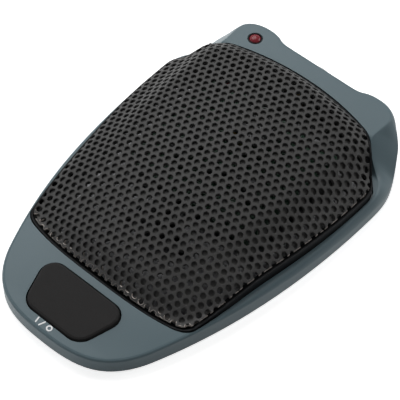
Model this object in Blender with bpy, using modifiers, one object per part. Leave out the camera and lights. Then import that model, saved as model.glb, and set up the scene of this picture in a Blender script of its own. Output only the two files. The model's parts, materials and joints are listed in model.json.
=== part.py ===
"""Boundary microphone: a flat die-cast body with a domed perforated grille, a push button on its
nose, a status lamp and a cable socket at its rear. Metres, +Z up, rear towards +Y, resting on z = 0."""

import math

import bmesh
import bpy
from mathutils import Vector
from mathutils.geometry import interpolate_bezier

# Driving sizes of the body, in metres
LENGTH = 0.1156
HALF_WIDTH = 0.0393
WIDEST_FROM_REAR = LENGTH * 0.238
NOTCH_HALF_WIDTH = HALF_WIDTH * 0.28
NOTCH_DEPTH = LENGTH * 0.0173
WALL = 0.0016
DECK_THICKNESS = 0.0014
SKIRT_LIFT = 0.0008
NOSE_HEIGHT = 0.0050
RIM_HEIGHT = NOSE_HEIGHT + 0.0008
REAR_DECK_HEIGHT = 0.0133
DECK_CROWN = 0.00115
EDGE_ROUND = 0.0008
SIDE_ROUND = 0.0014
FLANK_WALL_HEIGHT = 0.0030

# Opening in the deck for the grille
OPENING_FRONT = LENGTH * 0.18
OPENING_REAR = LENGTH * 0.071

# Grille
GRILLE_TOP = 0.0201
CREST_DROP = 0.0103
CROWN_DROP = 0.00715
FRONT_CROWN = 0.75
FLANK_WIDTH = HALF_WIDTH * 0.249
SHELF_WIDTH = HALF_WIDTH * 0.046
SHELF_LIP = 0.0009
ROLL_SIDE = HALF_WIDTH * 0.064
ROLL_REAR = LENGTH * 0.0623
SHEET = 0.0008
SHEET_INSET = 0.0011
LAYER_GAP = 0.0004
BACKING = 0.0006
BACKING_INSET = 0.0019
HOLE_PITCH = 0.0060
HOLE_RADIUS = 0.00198
NET_MARGIN = 0.0006
BORDER_FRONT_LIFT = 0.0009
BORDER_SIDE_LIFT = 0.0031
BORDER_CORNER_LIFT = 0.0028
BORDER_REAR_LIFT = 0.0007

# Frame under the grille's edge
FRAME_WALL = 0.0023
FRAME_LIP = 0.00045
FRAME_BRIDGE = 0.0007

# Clearances
FIT = 0.0003
BUTTON_FIT = 0.00035

# Base
MAT = 0.0008
PLATE = 0.0010
MAT_INSET = 0.0026

# Button and its switch
BUTTON_REAR_HALF = HALF_WIDTH * 0.379
BUTTON_FRONT_HALF = HALF_WIDTH * 0.257
BUTTON_REAR = LENGTH * 0.158
BUTTON_FRONT = LENGTH * 0.0303
BUTTON_REAR_RADIUS = 0.0040
BUTTON_FRONT_RADIUS = 0.0050
BUTTON_REAR_HEIGHT = NOSE_HEIGHT + 0.0021
BUTTON_FRONT_HEIGHT = NOSE_HEIGHT + 0.0006
BUTTON_SHELL = 0.0011
BUTTON_FLANGE = 0.0007
BUTTON_FLANGE_HEIGHT = 0.0005
BUTTON_TRAVEL = 0.0005
SWITCH_SIZE = 0.0060
SWITCH_HEIGHT = NOSE_HEIGHT * 0.17
PLUNGER_RADIUS = 0.0014
THIN_BOARD = NOSE_HEIGHT * 0.15
BOARD_TABS = 0.0020

# Status lamp
LAMP_X = HALF_WIDTH * 0.534
LAMP_FROM_REAR = LENGTH * 0.0528
LAMP_RADIUS = 0.00145
LAMP_PROUD = 0.0007
COLLAR_WALL = 0.0004
LAMP_FIT = 0.0002

# Microphone capsule
CAPSULE_RADIUS = 0.0030
CAPSULE_LENGTH = 0.0050
CAPSULE_FROM_FRONT = LENGTH * 0.389
BOOT_WALL = 0.0011
CRADLE_WALL = 0.0010
CRADLE_JAW = 0.0010
CRADLE_FOOT = 0.0024

# Main board
BOARD_HALF_WIDTH = HALF_WIDTH * 0.611
BOARD_FROM_FRONT = LENGTH * 0.48
BOARD = 0.0016
SPACER = 0.0027
SPACER_INSET = 0.0040
SPACER_WALL = 0.0010
CAPACITOR_RADIUS = 0.0031
CAPACITOR_HEIGHT = 0.0050
CORE_HALF_WIDTH = 0.0062
CORE_HALF_DEPTH = 0.0052
CORE_HEIGHT = 0.0072
CORE_LIMB = 0.0020
CORE_YOKE = 0.0014
COIL_OVERHANG = 0.0012
CHIP_HALF_WIDTH = 0.0025
CHIP_HALF_DEPTH = 0.0020
CHIP_HEIGHT = 0.0014
LEAD_RADIUS = 0.0006
CABLE_LEAD_RADIUS = 0.0009

# Cable socket
SOCKET_SHARE = 0.775
SOCKET_WALL = 0.0006
SOCKET_DEPTH = 0.0092
SOCKET_FLANGE = 0.0011
PIN_RADIUS = 0.0004
PIN_REACH = 0.0044
PIN_TAIL = 0.0018
PIN_LAND = 0.0003
LEAD_ROOM = 0.0085
NUT_WALL = 0.0008
NUT_LENGTH = 0.0014
INSERT_LENGTH = 0.0034
PANEL_HALF_WIDTH = HALF_WIDTH * 0.254

# Fasteners
SCREW_HEAD = 0.0019
SCREW_HEAD_HEIGHT = 0.0011
SCREW_CLEAR = 0.0002
SCREW_SHANK = 0.0010
SCREW_HOLE = 0.0013
BOSS_RADIUS = 0.0027
REAR_BOSS_TOP = 0.0078
BORE_END = 0.0005
SCREW_END = 0.0003

# Fineness of the curves
STEPS = 4
ACROSS = 8
ROUND = 20
SMALL_ROUND = 10

UPWARDS = (0, 0, 1)
REARWARDS = (0, 1, 0)
FRONT_Y = -LENGTH / 2
REAR_Y = LENGTH / 2
PLATE_BOTTOM = MAT + FIT
PLATE_TOP = PLATE_BOTTOM + PLATE
NOTCH_Y = REAR_Y - NOTCH_DEPTH
OPENING_FRONT_Y = FRONT_Y + OPENING_FRONT
OPENING_REAR_Y = REAR_Y - OPENING_REAR
OPENING_CORNER_Y = FRONT_Y + LENGTH * 0.8884
OPENING_SIDE_Y = REAR_Y - WIDEST_FROM_REAR


def clear_scene():
    for old in list(bpy.data.objects):
        bpy.data.objects.remove(old, do_unlink=True)
    for old in list(bpy.data.collections):
        bpy.data.collections.remove(old)


clear_scene()
PARTS = bpy.data.collections.new("boundary_microphone")
CUTTERS = bpy.data.collections.new("cutters")
CUTTERS.hide_render = True
bpy.context.scene.collection.children.link(PARTS)
bpy.context.scene.collection.children.link(CUTTERS)


def finish(name, colour, roughness, metallic=0.0):
    """A Principled material of one colour."""
    material = bpy.data.materials.new(name)
    material.use_nodes = True
    shader = material.node_tree.nodes["Principled BSDF"]
    shader.inputs["Base Color"].default_value = (*colour, 1.0)
    shader.inputs["Roughness"].default_value = roughness
    shader.inputs["Metallic"].default_value = metallic
    material.diffuse_color = (*colour, 1.0)
    return material


BODY_PAINT = finish("body_paint", (0.13, 0.17, 0.19), 0.38, 0.35)
GRILLE_PAINT = finish("grille_paint", (0.045, 0.045, 0.045), 0.5, 0.2)
BLACK_PLASTIC = finish("black_plastic", (0.008, 0.009, 0.010), 0.45)
BUTTON_PLASTIC = finish("button_plastic", (0.025, 0.025, 0.025), 0.55)
RUBBER = finish("rubber", (0.015, 0.015, 0.015), 0.85)
STEEL = finish("steel", (0.55, 0.55, 0.56), 0.32, 1.0)
BRASS = finish("gold_contact", (0.75, 0.55, 0.22), 0.25, 1.0)
LAMP_RED = finish("lamp_red", (0.30, 0.01, 0.015), 0.12)
BOARD_GREEN = finish("board_green", (0.02, 0.10, 0.05), 0.4)
CAN_ALUMINIUM = finish("can_aluminium", (0.70, 0.70, 0.72), 0.3, 1.0)
COIL_TAPE = finish("coil_tape", (0.45, 0.30, 0.08), 0.5)


def add_object(name, mesh, material=None, sharp=math.radians(35)):
    """Puts a mesh in the parts, or among the cutters where it has no material."""
    obj = bpy.data.objects.new(name, mesh)
    if material:
        mesh.materials.append(material)
        PARTS.objects.link(obj)
        mesh.shade_smooth()
        mesh.set_sharp_from_angle(angle=sharp)
    else:
        CUTTERS.objects.link(obj)
        obj.hide_render = True
        obj.display_type = "WIRE"
    return obj


def mesh_from(bm, name):
    bmesh.ops.recalc_face_normals(bm, faces=bm.faces)
    if bm.calc_volume(signed=True) < 0:
        bmesh.ops.reverse_faces(bm, faces=bm.faces)
    mesh = bpy.data.meshes.new(name)
    bm.to_mesh(mesh)
    bm.free()
    return mesh


def boolean(target, cutter, operation="DIFFERENCE"):
    modifier = target.modifiers.new(cutter.name, "BOOLEAN")
    modifier.operation = operation
    modifier.solver = "EXACT"
    modifier.object = cutter


def bevel(obj, width, segments=1, angle=math.radians(40)):
    modifier = obj.modifiers.new("edges", "BEVEL")
    modifier.width = width
    modifier.segments = segments
    modifier.limit_method = "ANGLE"
    modifier.angle_limit = angle


def box(name, low, high, material=None, edge=0.0):
    bm = bmesh.new()
    bmesh.ops.create_cube(bm, size=1.0)
    low, high = Vector(low), Vector(high)
    for vertex in bm.verts:
        vertex.co = [a + (c + 0.5) * (b - a) for a, b, c in zip(low, high, vertex.co)]
    obj = add_object(name, mesh_from(bm, name), material)
    if edge:
        bevel(obj, edge)
    return obj


def cylinder_mesh(name, centre, axis, radius, start, end, sides=ROUND, tip=None):
    """A cylinder or cone frustum along an axis, from start to end along it from the centre."""
    bm = bmesh.new()
    bmesh.ops.create_cone(
        bm,
        cap_ends=True,
        segments=sides,
        radius1=radius,
        radius2=radius if tip is None else tip,
        depth=end - start,
    )
    turn = Vector(UPWARDS).rotation_difference(Vector(axis))
    middle = Vector(centre) + Vector(axis) * (start + end) / 2
    for vertex in bm.verts:
        vertex.co = turn @ vertex.co + middle
    return mesh_from(bm, name)


def cylinder(name, centre, axis, radius, start, end, material=None, sides=ROUND, tip=None):
    mesh = cylinder_mesh(name, centre, axis, radius, start, end, sides, tip)
    return add_object(name, mesh, material)


def drill(target, name, x, y, radius, low, high, sides=ROUND):
    """Cuts an upright round hole."""
    boolean(target, cylinder(name, (x, y, 0), UPWARDS, radius, low, high, sides=sides))


def turned(name, profile, material, location, axis=UPWARDS, sides=ROUND):
    """Spins a closed profile of (radius, height) points about its own axis."""
    bm = bmesh.new()
    loop = [bm.verts.new((radius, 0.0, height)) for radius, height in profile]
    edges = [bm.edges.new((a, b)) for a, b in zip(loop, loop[1:])]
    closed = profile[0][0] > 0 and profile[-1][0] > 0
    if closed:
        edges.append(bm.edges.new((loop[-1], loop[0])))
    bmesh.ops.spin(
        bm,
        geom=loop + edges,
        axis=UPWARDS,
        cent=(0, 0, 0),
        angle=math.tau,
        steps=sides,
        use_merge=True,
    )
    bmesh.ops.remove_doubles(bm, verts=bm.verts, dist=1e-6)
    turn = Vector(UPWARDS).rotation_difference(Vector(axis))
    for vertex in bm.verts:
        vertex.co = turn @ vertex.co + Vector(location)
    return add_object(name, mesh_from(bm, name), material)


def tube(name, points, radius, material):
    """A wire through the points, on a smooth curve."""
    curve = bpy.data.curves.new(name, "CURVE")
    curve.dimensions = "3D"
    curve.bevel_depth = radius
    curve.bevel_resolution = 1
    curve.use_fill_caps = True
    spline = curve.splines.new("POLY")
    route = smooth_route([Vector(point) for point in points], 3)
    spline.points.add(len(route) - 1)
    for slot, point in zip(spline.points, route):
        slot.co = (*point, 1.0)
    curve.materials.append(material)
    obj = bpy.data.objects.new(name, curve)
    PARTS.objects.link(obj)
    return obj


def smooth_route(points, steps):
    """Points on a curve through the given ones, with tangents along their neighbours."""
    ahead = points[1:] + [points[-1]]
    behind = [points[0]] + points[:-1]
    tangents = [(a - b) / 6 for a, b in zip(ahead, behind)]
    route = []
    for i in range(len(points) - 1):
        start, end = points[i], points[i + 1]
        piece = interpolate_bezier(
            start, start + tangents[i], end - tangents[i + 1], end, steps + 1
        )
        route.extend(piece[:-1])
    route.append(points[-1])
    return route


def knot(x, y, heading, z=0.0):
    """A point of a half outline with the direction, in degrees, that the outline runs there."""
    return Vector((x, y, z)), math.radians(heading)


def plan(x_share, y_share, heading, z=0.0):
    """A knot at a share of the half width out and a share of the length back from the front."""
    return knot(HALF_WIDTH * x_share, FRONT_Y + LENGTH * y_share, heading, z)


def half_outline(knots, steps=STEPS):
    """A curve from the front of the centre line round to its rear, smooth at every knot."""
    points = []
    for (start, start_heading), (end, end_heading) in zip(knots, knots[1:]):
        chord = (end.xy - start.xy).length
        turn = abs(math.remainder(end_heading - start_heading, math.tau))
        reach = chord / (3 * math.cos(turn / 4) ** 2)
        out = Vector((math.cos(start_heading), math.sin(start_heading), 0)) * reach
        back = Vector((math.cos(end_heading), math.sin(end_heading), 0)) * reach
        piece = interpolate_bezier(start, start + out, end - back, end, steps + 1)
        for i, point in enumerate(piece[:-1]):
            share = i / steps
            rise = share * share * (3 - 2 * share)
            points.append(Vector((point.x, point.y, start.z + (end.z - start.z) * rise)))
    points.append(knots[-1][0].copy())
    return points


def ring(half):
    """The whole outline, from the right half, anticlockwise from the front."""
    left = [Vector((-p.x, p.y, p.z)) for p in reversed(half[1:-1])]
    return half + left


def inset_half(half, distance):
    """The half outline moved inwards in plan; distance is one value or one for each point."""
    whole = ring(half)
    count = len(half)
    moved = []
    for i, point in enumerate(half):
        along = whole[(i + 1) % len(whole)].xy - whole[i - 1].xy
        inward = Vector((-along.y, along.x)).normalized()
        step = distance if isinstance(distance, float) else distance[i]
        shifted = point.xy + inward * step
        x = 0.0 if i in (0, count - 1) else shifted.x
        moved.append(Vector((x, shifted.y, point.z)))
    return moved


def flat_plate(name, half, low, high, material=None, holes=()):
    """A plate with the outline's plan and flat faces, with round holes of (x, y, radius)."""
    bm = bmesh.new()
    loops = []
    for height in (low, high):
        loops.append([bm.verts.new((p.x, p.y, height)) for p in ring(half)])
    bridge(bm, loops)
    bm.faces.new(reversed(loops[0]))
    bm.faces.new(loops[-1])
    obj = add_object(name, mesh_from(bm, name), material)
    for i, (x, y, radius) in enumerate(holes):
        drill(obj, f"{name}_hole_{i}", x, y, radius, low - WALL, high + WALL, 12)
    return obj


def bridge(bm, loops):
    for lower, upper in zip(loops, loops[1:]):
        for i in range(len(lower)):
            j = (i + 1) % len(lower)
            bm.faces.new((lower[i], lower[j], upper[j], upper[i]))


def body_outline():
    """The body's plan where it meets the table."""
    return half_outline(
        [
            plan(0, 0, 0),
            plan(0.483, 0.040, 39),
            plan(0.662, 0.126, 67.5),
            plan(0.886, 0.374, 78),
            knot(HALF_WIDTH, OPENING_SIDE_Y, 90),
            plan(0.964, 0.852, 111),
            plan(0.837, 0.935, 121),
            plan(0.718, 0.974, 139),
            plan(0.519, 1.0, 180),
            plan(0.392, 0.9905, 208),
            knot(NOTCH_HALF_WIDTH, NOTCH_Y, 180),
            knot(0, NOTCH_Y, 180),
        ]
    )


def body_crease(outline):
    """The crease between walls and deck: it follows the walls to the widest place, then leaves
    them to run up along the grille's corner to the high rear deck."""
    heights = (NOSE_HEIGHT, NOSE_HEIGHT, NOSE_HEIGHT + 0.0002, RIM_HEIGHT, RIM_HEIGHT)
    growth = SIDE_ROUND - EDGE_ROUND
    rounds = [EDGE_ROUND + growth * smooth_share(p.y, OPENING_FRONT_Y, OPENING_SIDE_Y) for p in outline]
    crease = inset_half(outline, rounds)[: 4 * STEPS]
    for i, point in enumerate(crease):
        start, end = heights[i // STEPS], heights[i // STEPS + 1]
        point.z = start + (end - start) * (i % STEPS) / STEPS
    deck_z = REAR_DECK_HEIGHT
    rear = half_outline(
        [
            knot(HALF_WIDTH - SIDE_ROUND, OPENING_SIDE_Y, 90, RIM_HEIGHT),
            plan(0.891, 0.8365, 136, RIM_HEIGHT + 0.0003),
            plan(0.694, 0.8985, 90, deck_z),
            plan(0.698, 0.952, 94, deck_z),
            plan(0.512, 0.990, 180, deck_z),
            plan(0.397, 0.9836, 208, deck_z),
            knot(NOTCH_HALF_WIDTH, NOTCH_Y - EDGE_ROUND, 180, deck_z),
            knot(0, NOTCH_Y - EDGE_ROUND, 180, deck_z),
        ]
    )
    return crease + rear


def opening_half():
    """The grille opening's outline, with the height of the deck's rim along it."""
    return half_outline(
        [
            knot(0, OPENING_FRONT_Y, 0, NOSE_HEIGHT + DECK_CROWN),
            plan(0.626, 0.197, 13, RIM_HEIGHT - 0.0003),
            plan(0.761, 0.231, 76, RIM_HEIGHT - 0.0002),
            plan(0.868, 0.458, 80, RIM_HEIGHT + 0.0003),
            plan(0.949, 0.745, 90, RIM_HEIGHT),
            plan(0.911, 0.807, 134, RIM_HEIGHT),
            plan(0.728, 0.873, 138, REAR_DECK_HEIGHT - 0.0012),
            plan(0.616, 0.897, 162, REAR_DECK_HEIGHT),
            knot(0, OPENING_REAR_Y, 180, REAR_DECK_HEIGHT),
        ]
    )


def border_lift(y):
    """How far the grille's edge stands above the rim: low at the nose, high along the sides."""
    rise = smooth_share(y, OPENING_FRONT_Y, OPENING_FRONT_Y + LENGTH * 0.234)
    ease = smooth_share(y, FRONT_Y + LENGTH * 0.572, OPENING_SIDE_Y)
    fall = smooth_share(y, FRONT_Y + LENGTH * 0.831, FRONT_Y + LENGTH * 0.912)
    up = BORDER_FRONT_LIFT + (BORDER_SIDE_LIFT - BORDER_FRONT_LIFT) * rise
    return up + (BORDER_CORNER_LIFT - up) * ease + (BORDER_REAR_LIFT - BORDER_CORNER_LIFT) * fall


def smooth_share(value, start, end):
    share = min(max((value - start) / (end - start), 0.0), 1.0)
    return share * share * (3 - 2 * share)


def casing_solid(name, inset, drop, floor, material=None):
    """The body's outer form, or, moved in and down, the hollow inside it."""
    foot = body_outline()
    crease = body_crease(foot)
    if inset:
        foot = inset_half(foot, inset)
        crease = inset_half(crease, inset)
    rounding = []
    for base, top in zip(foot, crease):
        soften = SIDE_ROUND * smooth_share(top.y, OPENING_FRONT_Y, OPENING_SIDE_Y)
        soften *= 1 - smooth_share(top.y, OPENING_SIDE_Y + LENGTH * 0.05, OPENING_CORNER_Y)
        reach = (base.xy - top.xy).length + soften
        wall_top = top.z - drop - min(reach, top.z - FLANK_WALL_HEIGHT + EDGE_ROUND)
        rounding.append(max(wall_top, PLATE_TOP + FIT))
    levels = [[Vector((p.x, p.y, floor)) for p in foot]]
    for share in (0.0, 0.3, 0.6, 1.0):
        level = []
        for base, top, start in zip(foot, crease, rounding):
            low = Vector((base.x, base.y, start))
            high = Vector((top.x, top.y, top.z - drop))
            lean = min((top.xy - base.xy).length / 0.006, 1.0)
            corner = low.lerp(high, 0.45 * lean)
            corner.z = start + (high.z - start) * (0.67 - 0.15 * lean)
            level.append(low * (1 - share) ** 2 + corner * 2 * share * (1 - share) + high * share**2)
        levels.append(level)
    bm = bmesh.new()
    loops = [[bm.verts.new(p) for p in ring(level)] for level in levels]
    bridge(bm, loops)
    bm.faces.new(reversed(loops[0]))
    deck(bm, loops[-1], len(foot))
    return add_object(name, mesh_from(bm, name), material)


def deck(bm, rim, count):
    """Closes the top: crowned strips from side to side, then the flat deck behind the grille."""
    flat_from = STEPS * 6
    whole = len(rim)
    previous = [rim[0]]
    for i in range(1, flat_from + 1):
        right, left = rim[i], rim[whole - i]
        crown = DECK_CROWN * smooth_share(right.co.y, FRONT_Y, OPENING_FRONT_Y)
        crown *= 1 - smooth_share(right.co.y, OPENING_FRONT_Y, OPENING_SIDE_Y)
        row = [right]
        for j in range(1, ACROSS):
            share = 1 - 2 * j / ACROSS
            height = right.co.z + crown * (1 - share * share)
            row.append(bm.verts.new((right.co.x * share, right.co.y, height)))
        row.append(left)
        if len(previous) == 1:
            for a, b in zip(row, row[1:]):
                bm.faces.new((previous[0], a, b))
        else:
            for a, b, c, d in zip(previous, previous[1:], row[1:], row):
                bm.faces.new((a, b, c, d))
        previous = row
    rear = rim[flat_from + 1 : whole - flat_from]
    bm.faces.new(list(reversed(previous)) + rear)


def trapezoid_half(rear_half, front_half, front_y, rear_y, front_radius, rear_radius):
    """Half of the button's plan: a trapezoid with large rounded corners."""
    slope = math.degrees(math.atan2(rear_y - front_y, rear_half - front_half))
    lean = Vector((math.cos(math.radians(slope)), math.sin(math.radians(slope))))
    reach_front = front_radius * math.tan(math.radians(slope) / 2)
    reach_rear = rear_radius * math.tan(math.radians(180 - slope) / 2)
    front = Vector((front_half, front_y))
    rear = Vector((rear_half, rear_y))
    knots = [
        knot(0, front_y, 0),
        knot(front.x - reach_front, front_y, 0),
        knot(*(front + lean * reach_front), slope),
        knot(*(rear - lean * reach_rear), slope),
        knot(rear.x - reach_rear, rear_y, 180),
        knot(0, rear_y, 180),
    ]
    return half_outline(knots)


def button_half(grow=0.0):
    half = trapezoid_half(
        BUTTON_REAR_HALF,
        BUTTON_FRONT_HALF,
        FRONT_Y + BUTTON_FRONT,
        FRONT_Y + BUTTON_REAR,
        BUTTON_FRONT_RADIUS,
        BUTTON_REAR_RADIUS,
    )
    return inset_half(half, -grow) if grow else half


BUTTON_Y = FRONT_Y + (BUTTON_FRONT + BUTTON_REAR) / 2
BUTTON_SLOPE = (BUTTON_REAR_HEIGHT - BUTTON_FRONT_HEIGHT) / (BUTTON_REAR - BUTTON_FRONT)
SWITCH_BOARD_Z = PLATE_TOP + FIT
SWITCH_Z = SWITCH_BOARD_Z + THIN_BOARD + FIT
PLUNGER_Z = SWITCH_BOARD_Z + THIN_BOARD + FIT + BUTTON_TRAVEL
BUTTON_FOOT = NOSE_HEIGHT - DECK_THICKNESS - BUTTON_FLANGE_HEIGHT


def button_top(y, drop=0.0):
    return BUTTON_FRONT_HEIGHT + BUTTON_SLOPE * (y - FRONT_Y - BUTTON_FRONT) - drop


def make_button():
    """A hollow keycap with a rounded crown and a flange that holds it under the deck."""
    outline = button_half()
    flange = button_half(BUTTON_FLANGE)
    flange_top = BUTTON_FOOT + BUTTON_FLANGE_HEIGHT
    levels = [
        [Vector((p.x, p.y, BUTTON_FOOT)) for p in flange],
        [Vector((p.x, p.y, flange_top)) for p in flange],
        [Vector((p.x, p.y, flange_top)) for p in outline],
        [Vector((p.x, p.y, button_top(p.y, 0.0007))) for p in outline],
        [Vector((p.x, p.y, button_top(p.y, 0.0002))) for p in inset_half(outline, 0.0002)],
        [Vector((p.x, p.y, button_top(p.y))) for p in inset_half(outline, 0.0007)],
    ]
    bm = bmesh.new()
    loops = [[bm.verts.new(p) for p in ring(level)] for level in levels]
    bridge(bm, loops)
    bm.faces.new(reversed(loops[0]))
    bm.faces.new(loops[-1])
    cap = add_object("switch_button", mesh_from(bm, "switch_button"), BUTTON_PLASTIC)
    inner = inset_half(outline, BUTTON_SHELL)
    bm = bmesh.new()
    low = [bm.verts.new((p.x, p.y, BUTTON_FOOT - 0.001)) for p in ring(inner)]
    high = [bm.verts.new((p.x, p.y, button_top(p.y, BUTTON_SHELL))) for p in ring(inner)]
    bridge(bm, [low, high])
    bm.faces.new(reversed(low))
    bm.faces.new(high)
    boolean(cap, add_object("button_hollow", mesh_from(bm, "button_hollow")))
    return cap


class Dome:
    """The grille's surface: a long crowned loaf with steep flanks, shelves and a rolled edge."""

    def __init__(self):
        opening = opening_half()
        border = inset_half(opening, SHEET_INSET)
        for point in border:
            point.z += border_lift(point.y)
        self.border = ring(border)

    def nearest(self, x, y):
        """The distance to the border in plan, and the border's height there."""
        place = Vector((x, y))
        best = (1.0, 0.0)
        for a, b in zip(self.border, self.border[1:] + self.border[:1]):
            run = b.xy - a.xy
            share = min(max((place - a.xy).dot(run) / run.length_squared, 0.0), 1.0)
            distance = (a.xy + run * share - place).length
            if distance < best[0]:
                best = (distance, a.z + (b.z - a.z) * share)
        return best

    def side(self, y):
        """The border's half-width and height abreast of y, on the right."""
        y = min(max(y, OPENING_FRONT_Y + LENGTH * 0.06), OPENING_SIDE_Y - LENGTH * 0.009)
        half = len(self.border) // 2 + 1
        for a, b in zip(self.border[:half], self.border[1:half]):
            if a.y <= y <= b.y and a.x > HALF_WIDTH / 4:
                share = (y - a.y) / max(b.y - a.y, 1e-9)
                return a.x + (b.x - a.x) * share, a.z + (b.z - a.z) * share
        return HALF_WIDTH, RIM_HEIGHT

    def free_height(self, x, y):
        along = (y - OPENING_SIDE_Y) / (OPENING_SIDE_Y - OPENING_FRONT_Y)
        crest = GRILLE_TOP - CREST_DROP * along * along
        edge_x, edge_z = self.side(y)
        gain = 1 + FRONT_CROWN * (1 - smooth_share(y, OPENING_FRONT_Y, OPENING_FRONT_Y + LENGTH * 0.268))
        crown = crest - gain * CROWN_DROP * (x / HALF_WIDTH) ** 2
        crown_edge = crest - gain * CROWN_DROP * (edge_x / HALF_WIDTH) ** 2
        fall = max(crown_edge - edge_z - SHELF_LIP, 0.0)
        out = edge_x - SHELF_WIDTH
        return crown - fall * smooth_share(abs(x), out - FLANK_WIDTH, out)

    def height(self, x, y):
        distance, border_z = self.nearest(x, y)
        rear = smooth_share(y, OPENING_SIDE_Y, OPENING_CORNER_Y)
        roll = ROLL_SIDE + (ROLL_REAR - ROLL_SIDE) * rear
        share = min(distance / roll, 1.0)
        return border_z + (self.free_height(x, y) - border_z) * (1 - (1 - share) ** 2)

    def point(self, x, y, depth=0.0):
        """A point on the surface, or at a depth under it along its normal."""
        step = 0.0004
        z = self.height(x, y)
        if not depth:
            return Vector((x, y, z))
        slope_x = (self.height(x + step, y) - self.height(x - step, y)) / (2 * step)
        slope_y = (self.height(x, y + step) - self.height(x, y - step)) / (2 * step)
        normal = Vector((-slope_x, -slope_y, 1.0)).normalized()
        return Vector((x, y, z)) - normal * depth


def formed_screen(name, dome, insets, depth, thickness, every):
    """A perforated sheet pressed to the dome: a triangular net of holes inside a plain border.
    Every is 1 for a hole at each point of the net, or 3 for a hole at one point in three."""
    borders = [ring(inset_half(opening_half(), inset)) for inset in insets]
    net_border = ring(inset_half(opening_half(), BACKING_INSET + NET_MARGIN))
    row_step = HOLE_PITCH * math.sqrt(3) / 2
    rows = int(LENGTH / row_step) + 1
    columns = int(2 * HALF_WIDTH / HOLE_PITCH) + 2
    bm = bmesh.new()
    net = {}
    for row in range(rows):
        for column in range(-columns, columns):
            x = (column + 0.5 * (row % 2)) * HOLE_PITCH
            y = OPENING_FRONT_Y + HOLE_PITCH * 0.6 + row * row_step
            if inside((x, y), net_border):
                net[row, column] = bm.verts.new((x, y, 0.0))
    for (row, column), corner in list(net.items()):
        shift = row % 2
        right = net.get((row, column + 1))
        above = net.get((row + 1, column + shift))
        above_left = net.get((row + 1, column + shift - 1))
        if right and above:
            bm.faces.new((corner, right, above))
        if above and above_left:
            bm.faces.new((corner, above, above_left))
    loose = [vertex for vertex in bm.verts if not vertex.link_faces]
    bmesh.ops.delete(bm, geom=loose, context="VERTS")
    skin = {edge for edge in bm.edges if len(edge.link_faces) == 1}
    edge_verts = {vertex for edge in skin for vertex in edge.verts}
    punched = []
    for (row, column), vertex in net.items():
        third = (column - (row // 2) - row) % 3 == 0
        if vertex.is_valid and vertex not in edge_verts and (every == 1 or third):
            punched.append(vertex)
    cut = bmesh.ops.bevel(
        bm,
        geom=punched,
        offset=HOLE_RADIUS,
        offset_type="OFFSET",
        segments=1,
        profile=0.5,
        affect="VERTICES",
        material=-1,
    )
    bmesh.ops.delete(bm, geom=cut["faces"], context="FACES_ONLY")
    open_edges = [edge for edge in bm.edges if len(edge.link_faces) == 1]
    skin = [edge for edge in open_edges if edge_verts.issuperset(edge.verts)]
    loops = [[bm.verts.new((p.x, p.y, 0.0)) for p in line] for line in borders]
    rim = [bm.edges.new((a, b)) for a, b in zip(loops[0], loops[0][1:] + loops[0][:1])]
    bmesh.ops.triangle_fill(bm, use_beauty=True, edges=skin + rim, normal=UPWARDS)
    bridge(bm, loops)
    bmesh.ops.recalc_face_normals(bm, faces=bm.faces)
    for vertex in bm.verts:
        vertex.co = dome.point(vertex.co.x, vertex.co.y, depth)
    mesh = bpy.data.meshes.new(name)
    if sum(face.normal.z for face in bm.faces) < 0:
        bmesh.ops.reverse_faces(bm, faces=bm.faces)
    bm.to_mesh(mesh)
    bm.free()
    obj = add_object(name, mesh, GRILLE_PAINT)
    modifier = obj.modifiers.new("thickness", "SOLIDIFY")
    modifier.thickness = thickness
    modifier.offset = -1.0
    modifier.use_even_offset = True
    return obj


def inside(place, outline):
    """Whether a point in plan lies inside a closed outline."""
    x, y = place
    found = False
    for a, b in zip(outline, outline[1:] + outline[:1]):
        if (a.y > y) != (b.y > y) and x < a.x + (b.x - a.x) * (y - a.y) / (b.y - a.y):
            found = not found
    return found


def make_frame():
    """The black frame that the grille's edge sits on, with a low lip outside that edge. Its walls
    stand on the base plate, apart from the rear one, which bridges the cable socket."""
    opening = opening_half()
    seat_drop = SHEET + LAYER_GAP + BACKING + 2 * FIT
    bridge_from = OPENING_CORNER_Y - LENGTH * 0.026
    bridge_to = OPENING_CORNER_Y + LENGTH * 0.009
    lip, inner = FIT + FRAME_LIP, FIT + FRAME_WALL
    insets = (FIT, FIT, lip, lip, inner, inner)
    bm = bmesh.new()
    loops = []
    for level, inset in enumerate(insets):
        loop = []
        for point, moved in zip(opening, inset_half(opening, inset)):
            border = point.z + border_lift(point.y)
            foot = PLATE_TOP + FIT
            rise = border - seat_drop - FRAME_BRIDGE - foot
            foot += rise * smooth_share(point.y, bridge_from, bridge_to)
            heights = {0: foot, 1: border - SHEET, 2: border - SHEET, 5: foot}
            loop.append(Vector((moved.x, moved.y, heights.get(level, border - seat_drop))))
        loops.append([bm.verts.new(p) for p in ring(loop)])
    bridge(bm, loops + loops[:1])
    return add_object("grille_frame", mesh_from(bm, "grille_frame"), BLACK_PLASTIC)


def screw(name, x, y, seat):
    """A pan-head screw with its head on the seat and its shank going down into the base plate."""
    end = PLATE_BOTTOM + SCREW_CLEAR
    profile = [
        (0.0, seat + SCREW_HEAD_HEIGHT),
        (SCREW_HEAD * 0.72, seat + SCREW_HEAD_HEIGHT),
        (SCREW_HEAD, seat + SCREW_HEAD_HEIGHT * 0.45),
        (SCREW_HEAD, seat),
        (SCREW_SHANK, seat),
        (SCREW_SHANK, end + SCREW_SHANK / 2),
        (SCREW_SHANK * 0.5, end),
        (0.0, end),
    ]
    return turned(name, profile, STEEL, (x, y, 0), sides=SMALL_ROUND)


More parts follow.
